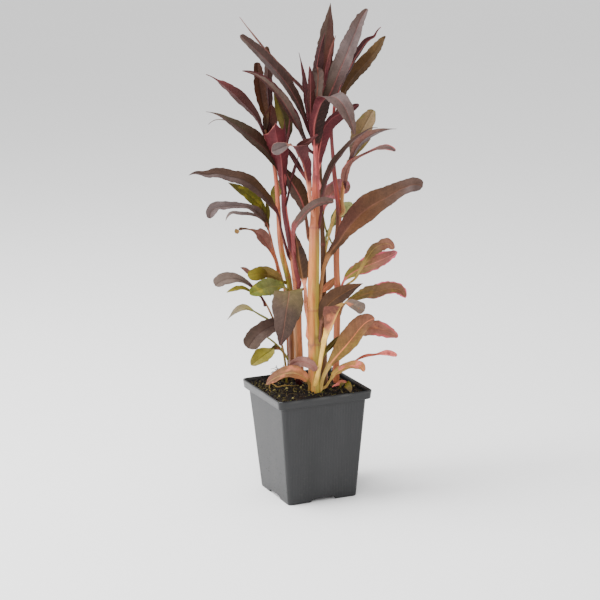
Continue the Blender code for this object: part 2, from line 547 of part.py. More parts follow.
def corner_radius(half):
    """A corner's radius, which grows with the pot's width."""
    share = (half - BASE_SIDE / 2) / (RIM_SIDE / 2 - BASE_SIDE / 2)
    return max(BASE_ROUND + (RIM_ROUND - BASE_ROUND) * share, 2.5)


def pot_profile():
    """(half width, height) down the outside's line, over the rim and down the inside."""
    collar_foot = POT_HEIGHT - COLLAR_HEIGHT
    outside = [
        (BASE_SIDE / 2 - 0.7, 0),
        (BASE_SIDE / 2, 0.8),
        (BODY_TOP_SIDE / 2, collar_foot - 0.4),
        (COLLAR_FOOT_SIDE / 2, collar_foot + 0.2),
        (RIM_SIDE / 2, POT_HEIGHT - 0.9),
        (RIM_SIDE / 2 - 0.4, POT_HEIGHT),
    ]
    inside = [
        (RIM_SIDE / 2 - WALL, POT_HEIGHT),
        (COLLAR_FOOT_SIDE / 2 - WALL, collar_foot + 1.6),
        (BODY_TOP_SIDE / 2 - WALL, collar_foot - 0.2),
        (BASE_SIDE / 2 + 0.3 - WALL, FLOOR_LIFT + FLOOR_THICK),
    ]
    return outside, inside


def cutter(name, mesh):
    made = bpy.data.objects.new(name, mesh)
    made.hide_render = True
    made.display_type = "WIRE"
    bpy.context.scene.collection.objects.link(made)
    return made


def disc(radius, low, high, at=(0, 0), sides=14):
    turn = np.arange(sides) * math.tau / sides
    ring = np.stack([at[0] + radius * np.cos(turn), at[1] + radius * np.sin(turn)], 1)
    return [np.column_stack([ring, np.full(sides, z)]) for z in (low, high)]


def make_pot():
    """The pot: a tapered square shell with a collar, corner feet, a centre pad and drain holes."""
    outside, inside = pot_profile()
    foot_inner = BASE_SIDE / 2 - FOOT_WIDTH
    profile = [(foot_inner, FLOOR_LIFT), (foot_inner, 0)] + outside + inside
    rings = [rounded_square(half, corner_radius(half), z) for half, z in profile]
    pot = add_object("pot", rings_to_mesh("pot", rings), "pot_black")
    reach = BASE_SIDE
    notch = [(-reach, NOTCH_WIDTH), (NOTCH_WIDTH, -reach)]
    cuts = []
    for k, (wide, deep) in enumerate(notch):
        x, y = (abs(wide), abs(deep) / 2) if wide < 0 else (abs(wide) / 2, abs(deep))
        corners = np.array([(-x, -y), (x, -y), (x, y), (-x, y)])
        box = [np.column_stack([corners, np.full(4, z)]) for z in (-5.0, FLOOR_LIFT)]
        cuts.append(cutter(f"notch_cutter_{k}", rings_to_mesh("notch", box)))
    for k in range(4):
        at = (DRAIN_OUT * math.copysign(1, 0.5 - k % 2), DRAIN_OUT * math.copysign(1, 1.5 - k))
        drain = disc(DRAIN_RADIUS, FLOOR_LIFT - 2, FLOOR_LIFT + FLOOR_THICK + 2, at)
        cuts.append(cutter(f"drain_cutter_{k}", rings_to_mesh("drain", drain)))
    for k, cut in enumerate(cuts):
        step = pot.modifiers.new(f"cut_{k}", "BOOLEAN")
        step.operation = "DIFFERENCE"
        step.solver = "EXACT"
        step.object = cut
    pad = cutter("pad", rings_to_mesh("pad", disc(PAD_RADIUS, 0, FLOOR_LIFT + FLOOR_THICK / 2)))
    step = pot.modifiers.new("centre_pad", "BOOLEAN")
    step.operation = "UNION"
    step.solver = "EXACT"
    step.object = pad


def make_soil():
    """The soil: it fills the pot inside its walls, and its top follows the slope and the mound."""
    _, inside = pot_profile()
    _, collar, body, base = inside
    rings = [rounded_square(base[0] - GAP, 3.5, base[1] + GAP)]
    for half, z in ((body[0], body[1]), (collar[0], collar[1])):
        rings.append(rounded_square(half - GAP, corner_radius(half), z))
    edge = collar[0] - GAP * 0.8
    for share in (1, 0.9, 0.74, 0.56, 0.36, 0.16):
        ring = rounded_square(edge * share, corner_radius(edge) * share, 0)
        ring[:, 2] = soil_height(ring[:, 0], ring[:, 1])
        if share == 1:
            ring[:, 2] = np.minimum(ring[:, 2] - SOIL_EDGE_DROP / 2, POT_HEIGHT - SOIL_EDGE_DROP)
        rings.append(ring)
    mesh = rings_to_mesh("soil", rings)
    mesh.shade_smooth()
    mesh.set_sharp_from_angle(angle=math.radians(60))
    add_object("soil", mesh, "soil")


def main():
    for old in list(bpy.data.objects):
        bpy.data.objects.remove(old, do_unlink=True)
    make_pot()
    make_soil()
    stems = {spec.name: spec for spec in STEMS}
    for spec in STEMS:
        make_stem(spec, stems)
    for spec in LEAVES:
        make_leaf(spec, stems)


main()
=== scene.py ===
import json
import math
from types import SimpleNamespace

import bpy
import numpy as np
from mathutils import Matrix, Vector


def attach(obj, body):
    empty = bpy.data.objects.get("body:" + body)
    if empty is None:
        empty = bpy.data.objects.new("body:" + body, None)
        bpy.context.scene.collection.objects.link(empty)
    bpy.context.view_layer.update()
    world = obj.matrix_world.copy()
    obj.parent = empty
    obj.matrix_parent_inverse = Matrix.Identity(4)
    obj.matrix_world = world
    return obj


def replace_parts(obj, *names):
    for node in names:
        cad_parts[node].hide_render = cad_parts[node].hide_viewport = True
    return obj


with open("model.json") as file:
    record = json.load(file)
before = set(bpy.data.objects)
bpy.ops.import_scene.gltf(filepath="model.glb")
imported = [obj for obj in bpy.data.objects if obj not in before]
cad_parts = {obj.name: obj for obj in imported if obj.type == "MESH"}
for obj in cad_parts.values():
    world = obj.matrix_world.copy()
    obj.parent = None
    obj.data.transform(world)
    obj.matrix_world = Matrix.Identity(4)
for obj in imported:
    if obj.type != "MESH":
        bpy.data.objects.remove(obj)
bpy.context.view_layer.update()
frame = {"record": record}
slotOf = {part["node"]: part["material_slot"] for part in frame["record"]["subparts"]}
mm = 0.001

# Routes are given as an eye in front of the plant sees them. A mark is (x, z, y) in millimetres: where
# the point shows on the upright plane through the pot's middle, and how far behind that plane it lies.
eye = dict(back=1800.0, up=607.0, potTurn=math.radians(23.1))
eyePlace = np.array([0.0, -eye["back"], eye["up"]])

# colours, as they look on screen; the greys used on leaf tops (greyPurple, greyBrown, warmGrey, paleGrey)
# hold painted sheen on top of the leaves' own colour
palette = dict(
    blackBrown=(44, 30, 24), darkBrown=(66, 42, 30), darkOlive=(72, 64, 20), darkRed=(62, 24, 24),
    umber=(84, 56, 36), darkMaroon=(76, 38, 34), mauveDark=(84, 62, 58), brown=(100, 66, 44),
    maroon=(88, 40, 43), oliveBrown=(92, 64, 18), russet=(114, 72, 44), oliveDeep=(92, 80, 22),
    roseDark=(116, 58, 60), brightMaroon=(112, 50, 56), maroonBrown=(98, 56, 46), tanDark=(124, 90, 56),
    greyBrown=(112, 92, 82), mauveBrown=(102, 80, 72), greyPurple=(116, 101, 99), olive=(118, 108, 34),
    khakiBrown=(132, 108, 72), tanBrown=(140, 102, 64), brownPink=(142, 98, 78), rosyBrown=(150, 110, 98),
    warmGrey=(134, 118, 108), paleGrey=(146, 134, 130), orangeBrown=(134, 78, 46),
    yellowOlive=(148, 138, 44), paleOlive=(156, 146, 80), khaki=(152, 132, 98), oliveTan=(150, 126, 66),
    rose=(158, 88, 88), coral=(180, 112, 82), tan=(172, 134, 92), salmon=(190, 120, 96),
    salmonTan=(192, 138, 104), pink=(192, 120, 118), rosyTan=(168, 122, 102), yellowGreen=(174, 168, 70),
    paleGreen=(154, 156, 104), straw=(192, 174, 112), olivePale=(176, 170, 110), strawGreen=(188, 168, 100),
    peachTan=(196, 150, 108), peach=(210, 160, 120), palePink=(214, 160, 152), strawLight=(228, 196, 136),
    peachLight=(224, 178, 138), brightPink=(206, 118, 146), greyGreen=(106, 100, 82),
    mottledPink=(172, 116, 122), ribPink=(154, 96, 92), pinkBrown=(160, 112, 98), strawPale=(214, 198, 124),
    stalkPeach=(212, 174, 146), leafGreen=(134, 144, 58), honey=(198, 160, 96), honeyGreen=(180, 164, 84),
    stemTan=(197, 150, 84), creamPink=(222, 186, 176), ashBrown=(92, 74, 62), deepBrown=(54, 36, 24),
    rust=(82, 46, 14), oliveRust=(92, 62, 8), oliveSoft=(134, 122, 68), greenPale=(180, 182, 138),
    midGreen=(118, 128, 60), mauveLight=(182, 162, 158), oliveBright=(108, 106, 16),
)


# The light that shows as a screen value c is about gain (c / (1 - c))^bend. A little of
# it is haze, and the rest over the room's strength is the surface's albedo.
shown = dict(gain=0.215, bend=1.21, room=2.5, haze=0.016, chroma=1.02, weights=(0.25, 0.6, 0.15),
             darkest=0.002, lightest=0.9)


def held(values, low=0, high=1):
    return np.clip(values, low, high)


def mixed(first, second, share):
    return first + (second - first) * share


def bell(distance, width):
    return np.exp(-(distance / width) ** 2)


def linear(name):
    # the albedo that shows as a screen colour
    c = np.array(palette[name] if isinstance(name, str) else name, float) / 255
    light = (shown["gain"] * (c / (1 - c)) ** shown["bend"] - shown["haze"]) / shown["room"]
    tone = mixed(light @ shown["weights"], light, shown["chroma"])
    return held(tone, shown["darkest"], shown["lightest"])


def blend(names, shares, at=None):
    # colours between evenly spaced stops, or between stops at the given shares
    names = names.split() if isinstance(names, str) else names
    stops = np.linspace(0, 1, len(names)) if at is None else np.asarray(at, float)
    rows = np.array([linear(n) for n in names])
    ease = held(shares, stops[0], stops[-1])
    return np.stack([np.interp(ease, stops, rows[:, k]) for k in range(3)], -1)


# shader maths
class Wire:
    # a node's output, on which the usual operators add Math nodes
    def __init__(self, graph, socket):
        self.graph, self.socket = graph, socket

    def maths(self, operation, *values):
        return self.graph.add("ShaderNodeMath", dict(operation=operation), dict(enumerate(values)))[0]

    def __add__(self, other):
        return self.maths("ADD", self, other)

    def __radd__(self, other):
        return self.maths("ADD", other, self)

    def __sub__(self, other):
        return self.maths("SUBTRACT", self, other)

    def __rsub__(self, other):
        return self.maths("SUBTRACT", other, self)

    def __mul__(self, other):
        return self.maths("MULTIPLY", self, other)

    def __rmul__(self, other):
        return self.maths("MULTIPLY", other, self)

    def absolute(self):
        return self.maths("ABSOLUTE", self)

    def fraction(self):
        return self.maths("FRACT", self)


class Graph:
    # a material's nodes, built by one method
    def __init__(self, name):
        self.material = bpy.data.materials.new(name)
        self.material.use_nodes = True
        self.tree = self.material.node_tree
        self.shader = self.tree.nodes["Principled BSDF"]

    def add(self, kind, settings=None, inputs=None):
        # a node with its settings made first, then the values or links of its sockets
        node = self.tree.nodes.new(kind)
        for key, value in (settings or {}).items():
            if key == "stops":
                ramp = node.color_ramp
                while len(ramp.elements) < len(value):
                    ramp.elements.new(0.5)
                for element, (place, colour) in zip(ramp.elements, value):
                    element.position, element.color = place, (*colour, 1)
            else:
                setattr(node, key, value)
        self.feed(node, inputs or {})
        return [Wire(self, out) for out in node.outputs]

    def feed(self, node, inputs):
        for key, value in inputs.items():
            socket = node.inputs[key]
            if isinstance(value, Wire):
                self.tree.links.new(value.socket, socket)
            elif hasattr(value, "__len__") and socket.type == "RGBA":
                socket.default_value = (*[float(v) for v in value[:3]], 1)
            else:
                socket.default_value = value

    def place(self):
        return self.add("ShaderNodeTexCoord")[3]

    def attribute(self, name):
        # colour, vector, value
        return self.add("ShaderNodeAttribute", dict(attribute_name=name))

    def split(self, vector):
        return self.add("ShaderNodeSeparateXYZ", None, {0: vector})

    def join(self, x, y, z):
        return self.add("ShaderNodeCombineXYZ", None, {0: x, 1: y, 2: z})[0]

    def noise(self, where, size, detail=3.0, rough=0.55, stretch=None):
        # soft noise whose blobs are about that many millimetres across
        if stretch:
            where = self.add("ShaderNodeVectorMath", dict(operation="MULTIPLY"), {0: where, 1: stretch})[0]
        return self.add("ShaderNodeTexNoise", None, {"Vector": where, "Scale": 1000.0 / size,
                                                     "Detail": detail, "Roughness": rough})[0]

    def mix(self, share, first, second, how="MIX"):
        return self.add("ShaderNodeMix", dict(data_type="RGBA", blend_type=how),
                        {0: share, 6: first, 7: second})[2]

    def shade(self, colour, value):
        # a colour times one number
        grey = self.add("ShaderNodeCombineColor", None, {0: value, 1: value, 2: value})[0]
        return self.mix(1.0, colour, grey, "MULTIPLY")

    def ramp(self, value, stops):
        return self.add("ShaderNodeValToRGB", dict(stops=stops), {0: value})[0]

    def span(self, value, low, high):
        # 0 below low and 1 above high, with a smooth rise between
        return self.add("ShaderNodeMapRange", dict(clamp=True, interpolation_type="SMOOTHSTEP"),
                        {0: value, 1: low, 2: high, 3: 0.0, 4: 1.0})[0]

    def bump(self, height, depth, strength=1.0):
        return self.add("ShaderNodeBump", None,
                        {"Height": height, "Distance": depth * mm, "Strength": strength})[0]

    def finish(self, colour, roughness, specular, normal=None):
        inputs = {"Base Color": colour, "Roughness": roughness, "Specular IOR Level": specular}
        self.feed(self.shader, {**inputs, "Normal": normal} if normal else inputs)
        return self.material


# meshes
def lattice(points, size, seed):
    # smooth value noise: random numbers at the corners of a cubic lattice, blended by a cubic ease
    q = points / size + seed * 17.3
    cell = np.floor(q).astype(np.int64)
    t = q - cell
    t = t * t * (3 - 2 * t)
    total = np.zeros(points.shape[:-1])
    for corner in range(8):
        step = np.array([corner & 1, corner >> 1 & 1, corner >> 2 & 1])
        k = cell + step
        h = (k[..., 0] * 73856093) ^ (k[..., 1] * 19349663) ^ (k[..., 2] * 83492791) ^ (seed * 2654435)
        h = (h ^ (h >> 13)) * 1274126177 & 0xFFFFFFFF
        h = (h ^ (h >> 16)) & 0xFFFF
        w = np.prod(np.where(step, t, 1 - t), axis=-1)
        total += w * (h / 65535.0)
    return total * 2 - 1


def layered(points, size, seed, layers=3):
    # lattice noise with each layer half as large and half as strong as the one before
    return sum(lattice(points, size / 2**k, seed + 7 * k) / 2**k for k in range(layers)) / 1.6


def newObject(name, points, faces):
    # an object from points in millimetres and a table of faces
    mesh = bpy.data.meshes.new(name)
    mesh.from_pydata((points.reshape(-1, 3) * mm).tolist(), [], faces.tolist())
    made = bpy.data.objects.new(name, mesh)
    bpy.context.scene.collection.objects.link(made)
    return made


def addPiece(name, points, faces, material, attributes=None, smooth=True):
    # a piece of the plant, with its attributes at each point
    made = newObject(name, points, faces)
    mesh = made.data
    for key, values in (attributes or {}).items():
        if values.ndim == 1:
            layer = mesh.attributes.new(key, "FLOAT", "POINT")
            layer.data.foreach_set("value", values.astype(np.float32))
        else:
            layer = mesh.attributes.new(key, "FLOAT_COLOR", "POINT")
            rows = np.concatenate([values, np.ones((len(values), 1))], 1)
            layer.data.foreach_set("color", rows.astype(np.float32).ravel())
    mesh.polygons.foreach_set("use_smooth", np.full(len(mesh.polygons), smooth))
    mesh.materials.append(material)
    mesh.update()
    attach(made, "root")
    return made


def bands(rows, count):
    # quads between rows of equal closed rings
    i, j = np.meshgrid(np.arange(rows - 1), np.arange(count), indexing="ij")
    n = (j + 1) % count
    here, ahead = i * count, (i + 1) * count
    return np.stack([here + j, here + n, ahead + n, ahead + j], -1).reshape(-1, 4)


def ringFaces(rows, count):
    # quads between the rings, with the two ends filled by quads across the ring
    k = np.arange(count // 2 - 1)
    cap = np.stack([k, count - 1 - k, count - 2 - k, k + 1], -1)
    return np.concatenate([bands(rows, count), cap, cap[:, ::-1] + (rows - 1) * count])


def closedFaces(rings, middle=0.0):
    # the faces of a closed surface through the rings, turned to look away from its middle
    faces = ringFaces(*rings.shape[:2])
    p = (rings.reshape(-1, 3) - middle)[faces]
    inward = (np.cross(p[:, 2] - p[:, 0], p[:, 3] - p[:, 1]) * p.mean(1)).sum() < 0
    return faces[:, ::-1] if inward else faces


def level(ring, z):
    # a ring of (x, y) at one height, or at a height for each point
    return np.column_stack([ring, np.broadcast_to(np.asarray(z, float), len(ring))])


def sighted(route):
    # real points of (x, z, y) marks: each moves along its line of sight to its depth
    marks = np.array(route, float)
    reach = 1 + marks[:, 2] / eye["back"]
    return np.stack([marks[:, 0] * reach, marks[:, 2], eye["up"] + (marks[:, 1] - eye["up"]) * reach], 1)


def turned(points):
    # points turned from the eye's frame to the pot's
    c, s = math.cos(eye["potTurn"]), math.sin(eye["potTurn"])
    x, y, z = points[..., 0], points[..., 1], points[..., 2]
    return np.stack([x * c + y * s, y * c - x * s, z], -1)


def unit(vectors):
    return vectors / np.maximum(np.linalg.norm(vectors, axis=-1, keepdims=True), 1e-9)


def smoothRun(points, shares):
    # points at shares of the length of a cubic through the marks, whose slope at each mark is the
    # neighbouring spans' slopes, each weighted by the other span's length
    spans = np.linalg.norm(np.diff(points, axis=0), axis=1)
    knots = np.concatenate([[0], np.cumsum(spans)])
    slopes = np.diff(points, axis=0) / spans[:, None]
    inner = (slopes[:-1] * spans[1:, None] + slopes[1:] * spans[:-1, None]) / (
        spans[1:] + spans[:-1])[:, None]
    tangents = np.concatenate([[2 * slopes[0] - inner[0]], inner, [2 * slopes[-1] - inner[-1]]])
    at = np.asarray(shares) * knots[-1]
    k = held(np.searchsorted(knots, at, side="right") - 1, 0, len(spans) - 1)
    u, span = ((at - knots[k]) / spans[k])[:, None], spans[k][:, None]
    return ((1 + 2 * u) * (1 - u) ** 2 * points[k] + u * (1 - u) ** 2 * span * tangents[k]
            + u**2 * (3 - 2 * u) * points[k + 1] + u**2 * (u - 1) * span * tangents[k + 1])


def runLength(marks):
    return np.linalg.norm(np.diff(marks, axis=0), axis=1).sum()


# What grows in the pot. A stem's tints are (height, colours on its left, middle and right as the eye sees
# it);
# their paler and darker sides are partly the stem's own colours and partly painted highlight and painted
# shade.
# A leaf is seated at (stem, height, bearing), and its outline is (share of its length, width). Its top,
# under, left and right are colours from its base to its tip, and what it leaves out is in leafUsual. Darker
# left and right halves are painted shade where a half lies in shadow, grey tops and halves are painted
# sheen, and the darkest stops at the foot of some tops are painted shade near the stem.
stems = {
    # on its upper part the palePink right side is a painted highlight and the darker left side painted
    # shade
    "main_stem": dict(
        route=[(7.4, 96, -26), (7.8, 140, -22), (7.7, 180, -18), (9.4, 240, -12), (11.7, 300, -7),
        (11.6, 340, -3), (12.2, 361, -1)], radii=(5.8, 4.9, 1.2), ridges=5, nodes=(145, 176, 250, 294),
        streak=1, tints=[(96, "stemTan honeyGreen yellowOlive"), (143, "stemTan honeyGreen yellowOlive"),
        (147, "tan oliveTan yellowOlive"), (152, "stemTan honeyGreen yellowOlive"),
        (180, "stemTan honeyGreen yellowOlive"), (222, "stemTan honeyGreen paleOlive"),
        (250, "salmonTan tan strawGreen"), (268, "salmonTan peachTan peach"),
        (279, "salmon salmonTan peach"), (287, "salmon pink palePink"), (300, "rose pink palePink"),
        (318, "brightMaroon pink pink"), (345, "maroon roseDark roseDark"),
        (361, "maroon roseDark maroon")]),
    "back_stem": dict(
        route=[(16, 104, -9), (16.5, 160, -5), (17, 220, 0), (16, 277, 6), (15.8, 309, 9)],
        radii=(3.3, 2.8, 1.1), ridges=4, nodes=(232,), streak=0.9, tints=[(104, "brown tanDark salmonTan"),
        (150, "orangeBrown tan peachTan"), (205, "brown russet tan"), (240, "russet russet tanBrown"),
        (309, "russet oliveBrown russet")]),
    "left_stem_inner": dict(
        route=[(-6.5, 108, 24), (-7, 150, 19), (-7.5, 196, 14), (-10.5, 220, 11.5), (-13.5, 240, 9),
        (-17, 264, 7), (-17, 300, 4), (-18, 321, 1)], radii=(4.6, 3.1, 1.9), ridges=5, nodes=(198, 222),
        streak=1, tints=[(108, "tan peachTan tan"), (150, "tan peachTan salmonTan"),
        (190, "salmonTan peachTan salmonTan"), (220, "salmonTan peachTan rosyTan"),
        (228, "roseDark pink rose"), (250, "brightMaroon pink roseDark"),
        (285, "brightMaroon pink roseDark"), (321, "maroon rose darkRed")]),
    "left_stem_outer": dict(
        route=[(-13, 109, 32), (-13, 150, 29), (-14, 196, 26), (-20.5, 228, 24), (-22.5, 262, 21),
        (-23.5, 285, 18), (-26, 308, 15), (-30, 325, 12), (-33, 337, 10)], radii=(3, 2.6, 1.5), ridges=5,
        nodes=(197, 262), streak=1, tints=[(109, "brownPink tan tan"), (150, "brownPink tan salmonTan"),
        (190, "yellowOlive oliveTan tan"), (205, "yellowOlive honey tan"),
        (230, "salmonTan peachTan tanBrown"), (262, "salmonTan salmonTan brown"),
        (290, "salmon salmonTan brown"), (308, "brownPink tanBrown darkBrown"),
        (337, "brown orangeBrown darkBrown")]),
    "right_stem": dict(
        route=[(27, 108, 19), (28, 140, 19), (29.5, 183, 18.5), (29, 224, 18), (31.5, 259, 17),
        (28, 297, 16), (27, 313, 15), (26, 333, 14.5), (27, 349, 14)], radii=(3.1, 2.8, 1.3), ridges=5,
        nodes=(190, 261), streak=0.9, tints=[(108, "salmonTan peachTan peach"),
        (150, "salmonTan peachTan peachLight"), (190, "salmonTan peachTan peach"),
        (240, "brownPink salmonTan peach"), (258, "brownPink salmon peach"), (268, "rose salmon rose"),
        (300, "rose rose roseDark"), (349, "brightMaroon roseDark maroon")]),
    "right_branch": dict(
        foot=("right_stem", 261, -20), route=[(34.8, 270, 15.5), (35.8, 283, 15), (37.8, 296, 14.5),
        (41.3, 309, 14)], radii=(1.8, 1.7, 1.3), ridges=3, nodes=(), streak=0.7,
        tints=[(255, "tan straw peach"), (290, "tanBrown peach salmonTan"),
        (309, "tanBrown tan brownPink")]),
    "thin_shoot": dict(
        route=[(-16, 113, 40), (-17, 160, 37), (-19, 194, 34), (-23, 210, 31), (-28, 230, 28),
        (-30.5, 242, 26), (-33, 251, 25), (-37, 259, 23)], radii=(1.4, 1.2, 0.9), ridges=3,
        nodes=(211, 253), streak=0.7, tints=[(113, "brownPink rosyTan tan"),
        (190, "salmonTan peachTan tan"), (230, "rosyTan salmonTan rosyTan"),
        (259, "rose salmon roseDark")]),
    "green_shoot": dict(
        route=[(-8, 103.5, 35.5), (-12.5, 114, 36.6), (-15, 122, 36.7), (-19, 130, 36.5), (-26, 139, 37),
        (-35.5, 147, 35)], radii=(1.2, 1.1, 0.8), ridges=3, nodes=(139,), streak=0.7,
        tints=[(103, "olive yellowGreen olive"), (147, "yellowOlive greenPale paleOlive")]),
    "tan_shoot": dict(
        route=[(-18, 105, 14), (-21, 135, 17), (-26, 155, 19), (-29, 163, 20), (-33, 173, 20),
        (-39, 184, 20)], radii=(1.2, 1, 0.8), ridges=3, nodes=(157,), streak=0.7,
        tints=[(105, "olive oliveTan tan"), (160, "tanBrown tan oliveTan"), (184, "tan peachTan tan")]),
}
